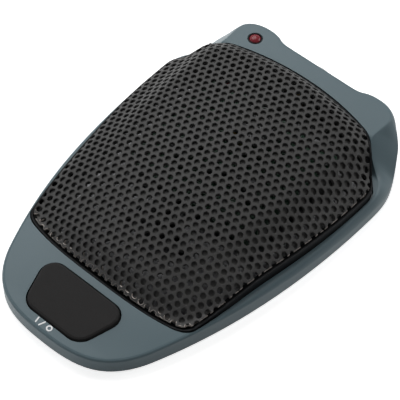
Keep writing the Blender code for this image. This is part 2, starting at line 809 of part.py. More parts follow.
def sunk_screw(name, x, y, end):
    """A countersunk screw, flush with the base plate's underside, going up to its end."""
    profile = [
        (0.0, PLATE_BOTTOM),
        (SCREW_HEAD, PLATE_BOTTOM),
        (SCREW_SHANK, PLATE_TOP),
        (SCREW_SHANK, end - SCREW_SHANK / 2),
        (SCREW_SHANK * 0.5, end),
        (0.0, end),
    ]
    return turned(name, profile, STEEL, (x, y, 0), sides=SMALL_ROUND)


FRONT_SCREW = (HALF_WIDTH * 0.522, FRONT_Y + LENGTH * 0.109)
REAR_SCREW = (HALF_WIDTH * 0.70, REAR_Y - LENGTH * 0.065)
BASE_SCREWS = tuple(
    (f"{end}_{side}", way * x, y, boss_top)
    for end, (x, y), boss_top in (
        ("front", FRONT_SCREW, NOSE_HEIGHT - DECK_THICKNESS / 3),
        ("rear", REAR_SCREW, REAR_BOSS_TOP),
    )
    for side, way in (("left", -1), ("right", 1))
)
SOCKET_Z = (PLATE_TOP + REAR_DECK_HEIGHT - DECK_THICKNESS) / 2
SOCKET_RADIUS = SOCKET_SHARE * (REAR_DECK_HEIGHT - DECK_THICKNESS - PLATE_TOP) / 2
SOCKET_MOUTH = NOTCH_Y + FIT + SOCKET_FLANGE
SOCKET_BACK = SOCKET_MOUTH - SOCKET_DEPTH
BOARD_FRONT_Y = FRONT_Y + BOARD_FROM_FRONT
BOARD_REAR_Y = SOCKET_BACK - PIN_TAIL - LEAD_ROOM
BOARD_LENGTH = BOARD_REAR_Y - BOARD_FRONT_Y
BOARD_Z = PLATE_TOP + FIT + SPACER + FIT
BOARD_TOP = BOARD_Z + BOARD
BOARD_CORNERS = tuple(
    (f"{end}_{side}", way * (BOARD_HALF_WIDTH - SPACER_INSET), y)
    for end, y in (("front", BOARD_FRONT_Y + SPACER_INSET), ("rear", BOARD_REAR_Y - SPACER_INSET))
    for side, way in (("left", -1), ("right", 1))
)
CRADLE_Y = FRONT_Y + CAPSULE_FROM_FRONT
CRADLE_HALF = CAPSULE_RADIUS + FIT + BOOT_WALL + FIT + CRADLE_WALL
BOOT_RADIUS = CAPSULE_RADIUS + FIT + BOOT_WALL
CAPSULE_Z = PLATE_TOP + FIT + CRADLE_WALL * 1.2 + FIT + BOOT_RADIUS
HOLDER_SCREW_X = CRADLE_HALF + 0.0027


def make_housing():
    shell = casing_solid("upper_housing", 0.0, 0.0, SKIRT_LIFT, BODY_PAINT)
    boolean(shell, casing_solid("housing_hollow", WALL, DECK_THICKNESS, -0.001))
    for name, x, y, top in BASE_SCREWS:
        foot = PLATE_TOP + FIT
        boss = cylinder(f"boss_{name}", (x, y, 0), UPWARDS, BOSS_RADIUS, foot, top, sides=16)
        boolean(shell, boss, "UNION")
    opening = [Vector((p.x, p.y, 0)) for p in opening_half()]
    boolean(shell, flat_plate("grille_opening", opening, PLATE_TOP, 0.030))
    boolean(shell, flat_plate("button_opening", button_half(BUTTON_FIT), -0.001, 0.012))
    for name, x, y, top in BASE_SCREWS:
        drill(shell, f"bore_{name}", x, y, SCREW_HOLE, 0.0, top - BORE_END, 12)
    lamp_hole = LAMP_RADIUS + LAMP_FIT + COLLAR_WALL + LAMP_FIT
    lamp_y = REAR_Y - LAMP_FROM_REAR
    drill(shell, "lamp_hole", -LAMP_X, lamp_y, lamp_hole, BOARD_TOP, GRILLE_TOP)
    panel_low = (-PANEL_HALF_WIDTH - FIT, NOTCH_Y - WALL - 0.001, -0.001)
    panel_high = (PANEL_HALF_WIDTH + FIT, NOTCH_Y + 0.001, REAR_DECK_HEIGHT - DECK_THICKNESS)
    boolean(shell, box("panel_gap", panel_low, panel_high))
    return shell


def make_base():
    outline = body_outline()
    plate_half = inset_half(outline, WALL + FIT)
    holes = [(x, y, SCREW_HOLE) for _, x, y in BOARD_CORNERS]
    holes += [(way * HOLDER_SCREW_X, CRADLE_Y, SCREW_HOLE) for way in (-1, 1)]
    plate = flat_plate("base_plate", plate_half, PLATE_BOTTOM, PLATE_TOP, STEEL, holes)
    flat_plate("rubber_mat", inset_half(outline, MAT_INSET), 0.0, MAT, RUBBER)
    spread = SCREW_HEAD - SCREW_SHANK
    wide, narrow = SCREW_HEAD + FIT + spread, SCREW_SHANK + FIT - spread
    low, high = PLATE_BOTTOM - PLATE, PLATE_TOP + PLATE
    for name, x, y, top in BASE_SCREWS:
        sink = cylinder(f"sink_{name}", (x, y, 0), UPWARDS, wide, low, high, sides=16, tip=narrow)
        boolean(plate, sink)
        sunk_screw(f"base_screw_{name}", x, y, top - BORE_END - SCREW_END)


def make_switch():
    y = BUTTON_Y
    half = SWITCH_SIZE / 2
    wide, deep = half + BOARD_TABS, half + BOARD_TABS / 5
    board_top = SWITCH_BOARD_Z + THIN_BOARD
    box("switch_board", (-wide, y - deep, SWITCH_BOARD_Z), (wide, y + deep, board_top), BOARD_GREEN)
    switch_top = SWITCH_Z + SWITCH_HEIGHT
    body = box("switch_body", (-half, y - half, SWITCH_Z), (half, y + half, switch_top), BLACK_PLASTIC)
    drill(body, "switch_bore", 0, y, PLUNGER_RADIUS + FIT, SWITCH_BOARD_Z, NOSE_HEIGHT)
    top = button_top(y, BUTTON_SHELL) - FIT - BUTTON_SLOPE * PLUNGER_RADIUS
    plunger = ("switch_plunger", (0, y, 0), UPWARDS, PLUNGER_RADIUS, PLUNGER_Z, top)
    cylinder(*plunger, BUTTON_PLASTIC)
    make_button()


def make_lamp():
    x, y = -LAMP_X, REAR_Y - LAMP_FROM_REAR
    top = REAR_DECK_HEIGHT
    inner = LAMP_RADIUS + LAMP_FIT
    outer = inner + COLLAR_WALL
    collar = [(inner, top - 0.0034), (outer, top - 0.0034), (outer, top - 0.0003), (inner, top - 0.0006)]
    turned("lamp_collar", collar, BLACK_PLASTIC, (x, y, 0))
    dome_start = top + LAMP_PROUD - LAMP_RADIUS
    lamp_foot = BOARD_TOP + FIT
    profile = [(0.0, lamp_foot), (LAMP_RADIUS, lamp_foot)]
    for i in range(5):
        angle = math.radians(22.5 * i)
        profile.append((LAMP_RADIUS * math.cos(angle), dome_start + LAMP_RADIUS * math.sin(angle)))
    profile[-1] = (0.0, profile[-1][1])
    turned("status_lamp", profile, LAMP_RED, (x, y, 0))
    foot = lamp_foot - FIT
    tube(
        "lamp_lead",
        [
            (x, y, foot),
            (x, y, foot - 0.0022),
            (x + 0.0002, y - 0.0040, BOARD_TOP + 0.0010),
            (x + 0.0020, BOARD_REAR_Y + 0.0010, BOARD_TOP + 0.0012),
            (x + 0.0026, BOARD_REAR_Y - 0.0014, BOARD_TOP + 0.0010),
        ],
        LEAD_RADIUS,
        LAMP_RED,
    )


def make_capsule():
    y = CRADLE_Y
    front = y - CAPSULE_LENGTH / 2
    centre = (0, front, CAPSULE_Z)
    can = ("microphone_capsule", centre, REARWARDS, CAPSULE_RADIUS, 0.0, CAPSULE_LENGTH)
    cylinder(*can, CAN_ALUMINIUM)
    inner, outer = CAPSULE_RADIUS + FIT, BOOT_RADIUS
    low, high = CAPSULE_LENGTH * 0.04, CAPSULE_LENGTH * 0.96
    sleeve = [(inner, low), (outer, low), (outer, high), (inner, high)]
    turned("capsule_boot", sleeve, RUBBER, centre, REARWARDS)
    reach = HOLDER_SCREW_X + CRADLE_FOOT
    depth = CAPSULE_LENGTH * 0.42
    foot = PLATE_TOP + FIT
    floor = foot + CRADLE_WALL
    cradle = box("capsule_cradle", (-reach, y - depth, foot), (reach, y + depth, floor), BLACK_PLASTIC)
    half, jaw = CRADLE_HALF, CAPSULE_Z + CRADLE_JAW
    middle = foot + CRADLE_WALL / 2
    boolean(cradle, box("cradle_block", (-half, y - depth, middle), (half, y + depth, jaw)), "UNION")
    bore = (BOOT_RADIUS + FIT, -CAPSULE_LENGTH, CAPSULE_LENGTH * 2)
    boolean(cradle, cylinder("cradle_bore", centre, REARWARDS, *bore))
    for side, way in (("left", -1), ("right", 1)):
        x = way * HOLDER_SCREW_X
        drill(cradle, f"cradle_hole_{side}", x, y, SCREW_HOLE, PLATE_BOTTOM, jaw, 16)
        screw(f"cradle_screw_{side}", x, y, floor + FIT)
    back = front + CAPSULE_LENGTH + FIT
    tube(
        "capsule_lead",
        [
            (0, back, CAPSULE_Z),
            (0, back + 0.0020, CAPSULE_Z),
            (0.0004, BOARD_FRONT_Y - 0.0006, BOARD_TOP + 0.0016),
            (0.0008, BOARD_FRONT_Y + 0.0034, BOARD_TOP + 0.0011),
            (0.0010, BOARD_FRONT_Y + 0.0060, BOARD_TOP + 0.0010),
        ],
        LEAD_RADIUS,
        BLACK_PLASTIC,
    )


def make_board():
    board = box(
        "main_board",
        (-BOARD_HALF_WIDTH, BOARD_FRONT_Y, BOARD_Z),
        (BOARD_HALF_WIDTH, BOARD_REAR_Y, BOARD_TOP),
        BOARD_GREEN,
    )
    for name, x, y in BOARD_CORNERS:
        drill(board, f"board_hole_{name}", x, y, SCREW_HOLE, PLATE_TOP, REAR_DECK_HEIGHT, 16)
        low, high = PLATE_TOP + FIT, PLATE_TOP + FIT + SPACER
        rim = SCREW_HOLE + SPACER_WALL
        wall = [(SCREW_HOLE, low), (rim, low), (rim, high), (SCREW_HOLE, high)]
        turned(f"board_spacer_{name}", wall, STEEL, (x, y, 0), sides=12)
        screw(f"board_screw_{name}", x, y, BOARD_TOP + FIT)
    seat = BOARD_TOP + FIT
    front = BOARD_LENGTH * 0.25
    column = BOARD_HALF_WIDTH * 0.46
    places = (
        ("front", -column, front),
        ("middle", -column, front + 2 * CAPACITOR_RADIUS + 0.0018),
        ("rear", column, front + CAPACITOR_RADIUS),
    )
    for name, x, along in places:
        r, h = CAPACITOR_RADIUS, CAPACITOR_HEIGHT
        can = [
            (0.0, seat),
            (r * 0.94, seat),
            (r, seat + 0.0003),
            (r, seat + 0.0008),
            (r * 0.9, seat + 0.0011),
            (r, seat + 0.0014),
            (r, seat + h - 0.0003),
            (r * 0.93, seat + h),
            (0.0, seat + h),
        ]
        turned(f"capacitor_{name}", can, CAN_ALUMINIUM, (x, BOARD_FRONT_Y + along, 0), sides=16)
    y = BOARD_FRONT_Y + BOARD_LENGTH * 0.725
    wide, deep, top = CORE_HALF_WIDTH, CORE_HALF_DEPTH, seat + CORE_HEIGHT
    edge = SCREW_CLEAR
    core = box("transformer_core", (-wide, y - deep, seat), (wide, y + deep, top), STEEL, edge)
    wide -= CORE_LIMB
    low, high = seat + CORE_YOKE, top - CORE_YOKE
    boolean(core, box("core_window", (-wide, y - 2 * deep, low), (wide, y + 2 * deep, high)))
    wide -= FIT
    deep += COIL_OVERHANG
    low, high = (-wide, y - deep, low + FIT), (wide, y + deep, high - FIT)
    box("transformer_coil", low, high, COIL_TAPE, COIL_OVERHANG * 0.66)
    wide, deep, high = CHIP_HALF_WIDTH, CHIP_HALF_DEPTH, seat + CHIP_HEIGHT
    x, y = 0.4 * wide, BOARD_FRONT_Y + BOARD_LENGTH * 0.30
    box("preamp_chip", (x - wide, y - deep, seat), (x + wide, y + deep, high), BLACK_PLASTIC, edge)


def make_socket():
    centre = (0, 0, SOCKET_Z)
    low = (-PANEL_HALF_WIDTH, NOTCH_Y - WALL, PLATE_BOTTOM)
    high = (PANEL_HALF_WIDTH, NOTCH_Y, REAR_DECK_HEIGHT - DECK_THICKNESS - FIT)
    panel = box("connector_panel", low, high, BLACK_PLASTIC)
    bore = (SOCKET_RADIUS + FIT, NOTCH_Y - 2 * WALL, NOTCH_Y + WALL)
    boolean(panel, cylinder("panel_bore", centre, REARWARDS, *bore))
    inner = SOCKET_RADIUS - SOCKET_WALL
    pin_circle = inner - FIT - PIN_RADIUS - FIT - PIN_LAND
    flange = SOCKET_RADIUS + NUT_WALL
    start = SOCKET_BACK
    shell = [
        (inner, start),
        (SOCKET_RADIUS, start),
        (SOCKET_RADIUS, NOTCH_Y + FIT),
        (flange, NOTCH_Y + FIT),
        (flange, SOCKET_MOUTH - 0.0003),
        (flange - 0.0003, SOCKET_MOUTH),
        (inner + 0.0002, SOCKET_MOUTH),
        (inner, SOCKET_MOUTH - 0.0002),
    ]
    turned("connector_shell", shell, STEEL, centre, REARWARDS)
    back, face = start - PIN_RADIUS, start - PIN_RADIUS + INSERT_LENGTH
    plug = ("connector_insert", centre, REARWARDS, inner - FIT, back, face)
    insert = cylinder(*plug, BLACK_PLASTIC)
    for i, angle in enumerate((90, 210, 330)):
        x = pin_circle * math.cos(math.radians(angle))
        z = SOCKET_Z + pin_circle * math.sin(math.radians(angle))
        bore = (PIN_RADIUS + FIT, back - WALL, face + WALL)
        boolean(insert, cylinder(f"pin_bore_{i}", (x, 0, z), REARWARDS, *bore, sides=12))
        tip = PIN_RADIUS * 0.5
        profile = [
            (0.0, start - PIN_TAIL),
            (PIN_RADIUS, start - PIN_TAIL),
            (PIN_RADIUS, start + PIN_REACH - 0.0004),
            (tip, start + PIN_REACH),
            (0.0, start + PIN_REACH),
        ]
        turned(f"contact_pin_{i + 1}", profile, BRASS, (x, 0, z), REARWARDS, sides=SMALL_ROUND)
    nut_start = NOTCH_Y - WALL - FIT - NUT_LENGTH
    nut = [
        (SOCKET_RADIUS + FIT, nut_start),
        (SOCKET_RADIUS + NUT_WALL, nut_start),
        (SOCKET_RADIUS + NUT_WALL, nut_start + NUT_LENGTH),
        (SOCKET_RADIUS + FIT, nut_start + NUT_LENGTH),
    ]
    turned("connector_nut", nut, BRASS, centre, REARWARDS)
    back = start - PIN_TAIL - FIT
    tube(
        "connector_lead",
        [
            (0, back, SOCKET_Z),
            (0, back - 0.0012, SOCKET_Z),
            (-0.0012, BOARD_REAR_Y + 0.0006, BOARD_TOP + 0.0016),
            (-0.0030, BOARD_REAR_Y - 0.0012, BOARD_TOP + 0.0014),
            (-0.0046, BOARD_REAR_Y - 0.0030, BOARD_TOP + 0.0013),
        ],
        CABLE_LEAD_RADIUS,
        RUBBER,
    )


def make_switch_lead():
    z = PLATE_TOP + FIT + LEAD_RADIUS
    start_x = SWITCH_SIZE / 2 + BOARD_TABS + FIT
    tube(
        "switch_lead",
        [
            (start_x, BUTTON_Y, z),
            (start_x + 0.0020, BUTTON_Y + 0.0004, z),
            (start_x + 0.0040, BUTTON_Y + 0.0030, z),
        ],
        LEAD_RADIUS,
        BLACK_PLASTIC,
    )


dome = Dome()
make_housing()
make_base()
make_frame()
formed_screen("grille_screen", dome, (BACKING_INSET, SHEET_INSET), 0.0, SHEET, 1)
formed_screen("grille_backing", dome, (BACKING_INSET,), SHEET + LAYER_GAP, BACKING, 3)
make_switch()
make_lamp()
make_capsule()
make_board()
make_socket()
make_switch_lead()
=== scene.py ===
"""Looks of the boundary microphone: finishes, the full perforation, lights and the photo's camera."""

import json
import math

import bmesh
import bpy
import numpy as np
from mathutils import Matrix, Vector
from mathutils.bvhtree import BVHTree
from mathutils.geometry import interpolate_bezier


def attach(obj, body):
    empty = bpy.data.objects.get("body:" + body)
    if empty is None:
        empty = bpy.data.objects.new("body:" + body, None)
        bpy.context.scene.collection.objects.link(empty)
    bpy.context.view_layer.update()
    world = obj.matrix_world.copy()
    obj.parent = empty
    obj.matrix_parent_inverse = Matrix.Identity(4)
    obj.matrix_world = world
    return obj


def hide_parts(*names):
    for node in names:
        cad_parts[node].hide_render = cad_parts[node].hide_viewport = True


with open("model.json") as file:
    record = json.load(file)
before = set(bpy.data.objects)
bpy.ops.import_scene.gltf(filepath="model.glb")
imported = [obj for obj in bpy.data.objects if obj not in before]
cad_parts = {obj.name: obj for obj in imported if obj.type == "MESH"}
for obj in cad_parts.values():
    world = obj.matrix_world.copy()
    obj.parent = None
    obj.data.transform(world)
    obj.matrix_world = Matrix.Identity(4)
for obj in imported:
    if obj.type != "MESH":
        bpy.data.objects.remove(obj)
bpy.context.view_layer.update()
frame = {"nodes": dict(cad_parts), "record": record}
NODES = frame["nodes"]

# Sizes as in the part's source, which the fine body and grille follow
LENGTH = 0.1156
HALF_WIDTH = 0.0393
WALL = 0.0016
DECK_THICKNESS = 0.0014
NOSE_HEIGHT = 0.0050
RIM_HEIGHT = NOSE_HEIGHT + 0.0008
REAR_DECK_HEIGHT = 0.0133
DECK_CROWN = 0.00115
SIDE_ROUND = 0.0014
FLANK_WALL_HEIGHT = 0.0030
CREST_DROP = 0.0103
CROWN_DROP = 0.00715
FRONT_CROWN = 0.75
FLANK_WIDTH = HALF_WIDTH * 0.249
SHELF_WIDTH = HALF_WIDTH * 0.046
SHELF_LIP = 0.0009
ROLL_SIDE = HALF_WIDTH * 0.064
ROLL_REAR = LENGTH * 0.0623
SHEET_INSET = 0.0011
BACKING_INSET = 0.0019
BORDER_FRONT_LIFT = 0.0009
BORDER_SIDE_LIFT = 0.0031
BORDER_CORNER_LIFT = 0.0028
BORDER_REAR_LIFT = 0.0007
FIT = 0.0003
BUTTON_FIT = 0.00035
BUTTON_REAR_HALF = HALF_WIDTH * 0.379
BUTTON_FRONT_HALF = HALF_WIDTH * 0.257
BUTTON_REAR = LENGTH * 0.158
BUTTON_FRONT = LENGTH * 0.0303
BUTTON_REAR_RADIUS = 0.0040
BUTTON_FRONT_RADIUS = 0.0050
LAMP_X = HALF_WIDTH * 0.534
LAMP_FROM_REAR = LENGTH * 0.0528
LAMP_HOLE = 0.00225
PANEL_HALF_WIDTH = HALF_WIDTH * 0.254
PLATE_TOP = 0.0021
SCREW_HOLE = 0.0013
BOSS_RADIUS = 0.0027
REAR_BOSS_TOP = 0.0078
BORE_END = 0.0005
FRONT_Y = -LENGTH / 2
REAR_Y = LENGTH / 2
NOTCH_HALF_WIDTH = HALF_WIDTH * 0.28
NOTCH_Y = REAR_Y - LENGTH * 0.0173
OPENING_FRONT_Y = FRONT_Y + LENGTH * 0.18
OPENING_REAR_Y = REAR_Y - LENGTH * 0.071
OPENING_CORNER_Y = FRONT_Y + LENGTH * 0.8884
OPENING_SIDE_Y = REAR_Y - LENGTH * 0.238

# Sizes that depart a little from the part's source, to come closer to the photo
SKIRT_LIFT = 0.0003
EDGE_ROUND = 0.0006
SHEET = 0.00058
LAYER_GAP = 0.00017
BACKING = 0.0004
ROLL_FRONT = LENGTH * 0.06
FRONT_CUT = 0.0001
CREASE_ROLL = 0.0003

# A hair under the source's, so that the fine grille stays inside the CAD's box
GRILLE_TOP = 0.02009

# How finely the round and curved forms are drawn
ROUND = 48
OUTLINE_STEPS = 10
DECK_STEPS = 24
LENS_STEPS = 12

# The fine perforation
PITCH = 0.00232
HOLE_RADIUS = 0.00081
NET_TURN = math.radians(-1.4)
NET_START = (0.0, -0.0350)
HOLE_STEPS = 3
HOLE_REACH = HOLE_RADIUS * 1.3
ROLLOVER = 0.00012
NET_ROWS = range(-10, 48)
NET_COLUMNS = range(-26, 26)
NET_MARGIN = PITCH * 2.2
SPECK = 0.00001

# The bare look of the cut edges, and along the front a painted highlight on the steep rims next to
# them
ON_CUT = 0.00001
HIGHLIGHT_RIM_WIDTH = 0.0009
HIGHLIGHT_RIM_REACH = 0.006
UPRIGHT = 0.1
STEEP = 0.95

# Where and how far pressing draws the net together on the steep front
DRAW_FROM = FRONT_Y + LENGTH * 0.30
DRAW_TO = OPENING_FRONT_Y - 0.006
DRAW_EDGE = OPENING_FRONT_Y + 0.002
DRAW_EDGE_SLOPE = 0.7
DRAW_SLOPE = 1.2
DRAW_COLUMNS = 41
DRAW_STEPS = 120

# The status lamp's lens and bezel
LENS_RADIUS = 0.00175
LENS_START = REAR_DECK_HEIGHT - 0.0004
LENS_RISE = 0.0009
LENS_FOOT = REAR_DECK_HEIGHT - 0.0016
BEZEL_TOP = REAR_DECK_HEIGHT + 0.0001
BEZEL_EDGE = 0.0001
LAMP_GAP = 0.00005

# The switch mark printed in front of the button
MARK_STROKE = 0.00040
MARK_RING = (0.00096, -0.05562)
MARK_RING_RADIUS = 0.00090
MARK_STROKES = (
    ((-0.00322, -0.05655), (-0.00350, -0.05483)),
    ((-0.00192, -0.05672), (-0.00116, -0.05479)),
)
MARK_THICKNESS = 0.00003

# The studio and the photo's camera
FLOOR_SIZE = 3.0
FLOOR_WHITE = 0.86
FLOOR_GLOW = 0.75
WORLD_LEVEL = 0.065
SOFTBOXES = {
    "key": ((-0.36, 0.25, 0.53), 0.5, 0.4, 2.8),
    "side": ((-0.55, -0.36, 0.22), 0.9, 0.36, 1.7),
    "rear_fill": ((0.33, 0.68, 0.46), 0.4, 0.3, 2.3),
}
CAMERA_AZIMUTH = math.radians(41.7)
CAMERA_ELEVATION = math.radians(52.3)
CAMERA_DISTANCE = 0.48056
CAMERA_LENS = 155.7
CAMERA_TARGET = (-0.00045, 0.0047, 0.0)


def smooth_share(value, start, end):
    share = np.clip((np.asarray(value, dtype=float) - start) / (end - start), 0.0, 1.0)
    return share * share * (3 - 2 * share)


def knot(x, y, heading, z=0.0):
    return Vector((x, y, z)), math.radians(heading)


def half_outline(knots, steps=OUTLINE_STEPS):
    """A curve from the front of the centre line round to its rear, smooth at every knot."""
    points = []
    for (start, start_heading), (end, end_heading) in zip(knots, knots[1:]):
        chord = (end.xy - start.xy).length
        turn = abs(math.remainder(end_heading - start_heading, math.tau))
        reach = chord / (3 * math.cos(turn / 4) ** 2)
        out = Vector((math.cos(start_heading), math.sin(start_heading), 0)) * reach
        back = Vector((math.cos(end_heading), math.sin(end_heading), 0)) * reach
        piece = interpolate_bezier(start, start + out, end - back, end, steps + 1)
        for i, point in enumerate(piece[:-1]):
            rise = float(smooth_share(i / steps, 0.0, 1.0))
            points.append((point.x, point.y, start.z + (end.z - start.z) * rise))
    points.append(tuple(knots[-1][0]))
    return np.array(points)


def plan(x_share, y_share, heading, z=0.0):
    """A knot at a share of the half width out and a share of the length back from the front."""
    return knot(HALF_WIDTH * x_share, FRONT_Y + LENGTH * y_share, heading, z)


def body_outline():
    """The body's plan where it meets the table."""
    return half_outline(
        [
            plan(0, 0, 0),
            plan(0.483, 0.040, 39),
            plan(0.662, 0.126, 67.5),
            plan(0.886, 0.374, 78),
            knot(HALF_WIDTH, OPENING_SIDE_Y, 90),
            plan(0.964, 0.852, 111),
            plan(0.837, 0.935, 121),
            plan(0.718, 0.974, 139),
            plan(0.519, 1.0, 180),
            plan(0.392, 0.9905, 208),
            knot(NOTCH_HALF_WIDTH, NOTCH_Y, 180),
            knot(0, NOTCH_Y, 180),
        ]
    )


def body_crease(outline):
    """The crease between walls and deck, up from the sides to the high rear deck."""
    heights = (NOSE_HEIGHT, NOSE_HEIGHT, NOSE_HEIGHT + 0.0002, RIM_HEIGHT, RIM_HEIGHT)
    share = smooth_share(outline[:, 1], OPENING_FRONT_Y, OPENING_SIDE_Y)
    rounds = EDGE_ROUND + (SIDE_ROUND - EDGE_ROUND) * share
    crease = inset_half(outline, rounds)[: 4 * OUTLINE_STEPS]
    crease[:, 2] = np.interp(np.arange(4 * OUTLINE_STEPS) / OUTLINE_STEPS, range(5), heights)
    top = REAR_DECK_HEIGHT
    rear = half_outline(
        [
            knot(HALF_WIDTH - SIDE_ROUND, OPENING_SIDE_Y, 90, RIM_HEIGHT),
            plan(0.891, 0.8365, 136, RIM_HEIGHT + 0.0003),
            plan(0.694, 0.8985, 90, top),
            plan(0.698, 0.952, 94, top),
            plan(0.512, 0.990, 180, top),
            plan(0.397, 0.9836, 208, top),
            knot(NOTCH_HALF_WIDTH, NOTCH_Y - EDGE_ROUND, 180, top),
            knot(0, NOTCH_Y - EDGE_ROUND, 180, top),
        ]
    )
    return np.vstack([crease, rear])


def opening_half():
    """The grille opening's outline, with the height of the deck's rim along it."""
    return half_outline(
        [
            knot(0, OPENING_FRONT_Y, 0, NOSE_HEIGHT + DECK_CROWN),
            plan(0.626, 0.197, 13, RIM_HEIGHT - 0.0003),
            plan(0.761, 0.231, 76, RIM_HEIGHT - 0.0002),
            plan(0.868, 0.458, 80, RIM_HEIGHT + 0.0003),
            plan(0.949, 0.745, 90, RIM_HEIGHT),
            plan(0.911, 0.807, 134, RIM_HEIGHT),
            plan(0.728, 0.873, 138, REAR_DECK_HEIGHT - 0.0012),
            plan(0.616, 0.897, 162, REAR_DECK_HEIGHT),
            knot(0, OPENING_REAR_Y, 180, REAR_DECK_HEIGHT),
        ]
    )


def button_half():
    """Half of the button's plan: a trapezoid with large rounded corners."""
    front = np.array([BUTTON_FRONT_HALF, FRONT_Y + BUTTON_FRONT])
    rear = np.array([BUTTON_REAR_HALF, FRONT_Y + BUTTON_REAR])
    slope = math.atan2(rear[1] - front[1], rear[0] - front[0])
    lean = np.array([math.cos(slope), math.sin(slope)])
    reach_front = BUTTON_FRONT_RADIUS * math.tan(slope / 2)
    reach_rear = BUTTON_REAR_RADIUS * math.tan((math.pi - slope) / 2)
    return half_outline(
        [
            knot(0, front[1], 0),
            knot(front[0] - reach_front, front[1], 0),
            knot(*(front + lean * reach_front), math.degrees(slope)),
            knot(*(rear - lean * reach_rear), math.degrees(slope)),
            knot(rear[0] - reach_rear, rear[1], 180),
            knot(0, rear[1], 180),
        ]
    )


def border_lift(y):
    """How far the grille's edge stands above the rim: low at the nose, high along the sides."""
    rise = smooth_share(y, OPENING_FRONT_Y, OPENING_FRONT_Y + LENGTH * 0.234)
    ease = smooth_share(y, FRONT_Y + LENGTH * 0.572, OPENING_SIDE_Y)
    fall = smooth_share(y, FRONT_Y + LENGTH * 0.831, FRONT_Y + LENGTH * 0.912)
    up = BORDER_FRONT_LIFT + (BORDER_SIDE_LIFT - BORDER_FRONT_LIFT) * rise
    return up + (BORDER_CORNER_LIFT - up) * ease + (BORDER_REAR_LIFT - BORDER_CORNER_LIFT) * fall


def ring(half):
    left = half[1:-1][::-1] * np.array([-1.0, 1.0, 1.0])
    return np.vstack([half, left])


def inset_ring(half, distance):
    """The whole outline moved inwards in plan."""
    whole = ring(half)
    along = np.roll(whole, -1, axis=0)[:, :2] - np.roll(whole, 1, axis=0)[:, :2]
    inward = np.stack([-along[:, 1], along[:, 0]], axis=1)
    inward /= np.linalg.norm(inward, axis=1)[:, None]
    moved = whole.copy()
    moved[:, :2] += inward * distance
    return moved


def inset_half(half, distance):
    """The half outline moved inwards; distance is one value or one for each point."""
    distance = np.broadcast_to(distance, len(half))
    both = np.concatenate([distance, distance[1:-1][::-1]])[:, None]
    moved = inset_ring(half, both)[: len(half)]
    moved[[0, -1], 0] = 0.0
    return moved


OPENING = opening_half()
BORDER = inset_ring(OPENING, SHEET_INSET)
BORDER[:, 2] += border_lift(BORDER[:, 1])
SIDE = BORDER[: len(OPENING)]
SIDE = SIDE[(SIDE[:, 0] > HALF_WIDTH / 4) & (SIDE[:, 1] < OPENING_SIDE_Y + 0.001)]


def border_near(places):
    """The distance of each place to the sheet's border in plan, and the border's height there."""
    start, end = BORDER, np.roll(BORDER, -1, axis=0)
    run = (end - start)[:, :2]
    length = (run**2).sum(axis=1)
    best = np.full(len(places), 1.0)
    height = np.zeros(len(places))
    for first in range(0, len(places), 2000):
        some = places[first : first + 2000]
        offset = some[:, None, :] - start[None, :, :2]
        share = np.clip((offset * run).sum(axis=2) / length, 0.0, 1.0)
        gap = np.linalg.norm(offset - share[:, :, None] * run, axis=2)
        index = gap.argmin(axis=1)
        row = np.arange(len(some))
        best[first : first + 2000] = gap[row, index]
        part = share[row, index]
        height[first : first + 2000] = start[index, 2] + (end[index, 2] - start[index, 2]) * part
    return best, height


def dome_height(places):
    """The grille's surface: a long crowned loaf with steep flanks, shelves and a rolled edge."""
    x, y = places[:, 0], places[:, 1]
    along = (y - OPENING_SIDE_Y) / (OPENING_SIDE_Y - OPENING_FRONT_Y)
    crest = GRILLE_TOP - CREST_DROP * along**2
    abreast = np.clip(y, OPENING_FRONT_Y + LENGTH * 0.06, OPENING_SIDE_Y - LENGTH * 0.009)
    edge_x = np.interp(abreast, SIDE[:, 1], SIDE[:, 0])
    edge_z = np.interp(abreast, SIDE[:, 1], SIDE[:, 2])
    flatter = smooth_share(y, OPENING_FRONT_Y, OPENING_FRONT_Y + LENGTH * 0.268)
    gain = 1 + FRONT_CROWN * (1 - flatter)
    crown = crest - gain * CROWN_DROP * (x / HALF_WIDTH) ** 2
    crown_edge = crest - gain * CROWN_DROP * (edge_x / HALF_WIDTH) ** 2
    fall = np.maximum(crown_edge - edge_z - SHELF_LIP, 0.0)
    out = edge_x - SHELF_WIDTH
    free = crown - fall * smooth_share((np.abs(x) - out) / FLANK_WIDTH, -1.0, 0.0)
    distance, border_z = border_near(places)
    rear = smooth_share(y, OPENING_SIDE_Y, OPENING_CORNER_Y)
    front_start, front_end = OPENING_FRONT_Y + LENGTH * 0.03, OPENING_FRONT_Y + LENGTH * 0.12
    front = 1 - smooth_share(y, front_start, front_end)
    roll = ROLL_SIDE + (ROLL_REAR - ROLL_SIDE) * rear + (ROLL_FRONT - ROLL_SIDE) * front
    near = np.minimum(distance / roll, 1.0)
    return border_z + (free - border_z) * (1 - (1 - near) ** 2)


def dome_points(places, depth):
    """Points on the grille's surface, each at its own depth under it along the normal."""
    step = 0.0004
    z = dome_height(places)
    ahead_x = dome_height(places + (step, 0)) - dome_height(places - (step, 0))
    ahead_y = dome_height(places + (0, step)) - dome_height(places - (0, step))
    normal = np.stack([-ahead_x / (2 * step), -ahead_y / (2 * step), np.ones(len(z))], axis=1)
    normal /= np.linalg.norm(normal, axis=1)[:, None]
    return np.column_stack([places, z]) - normal * depth[:, None]


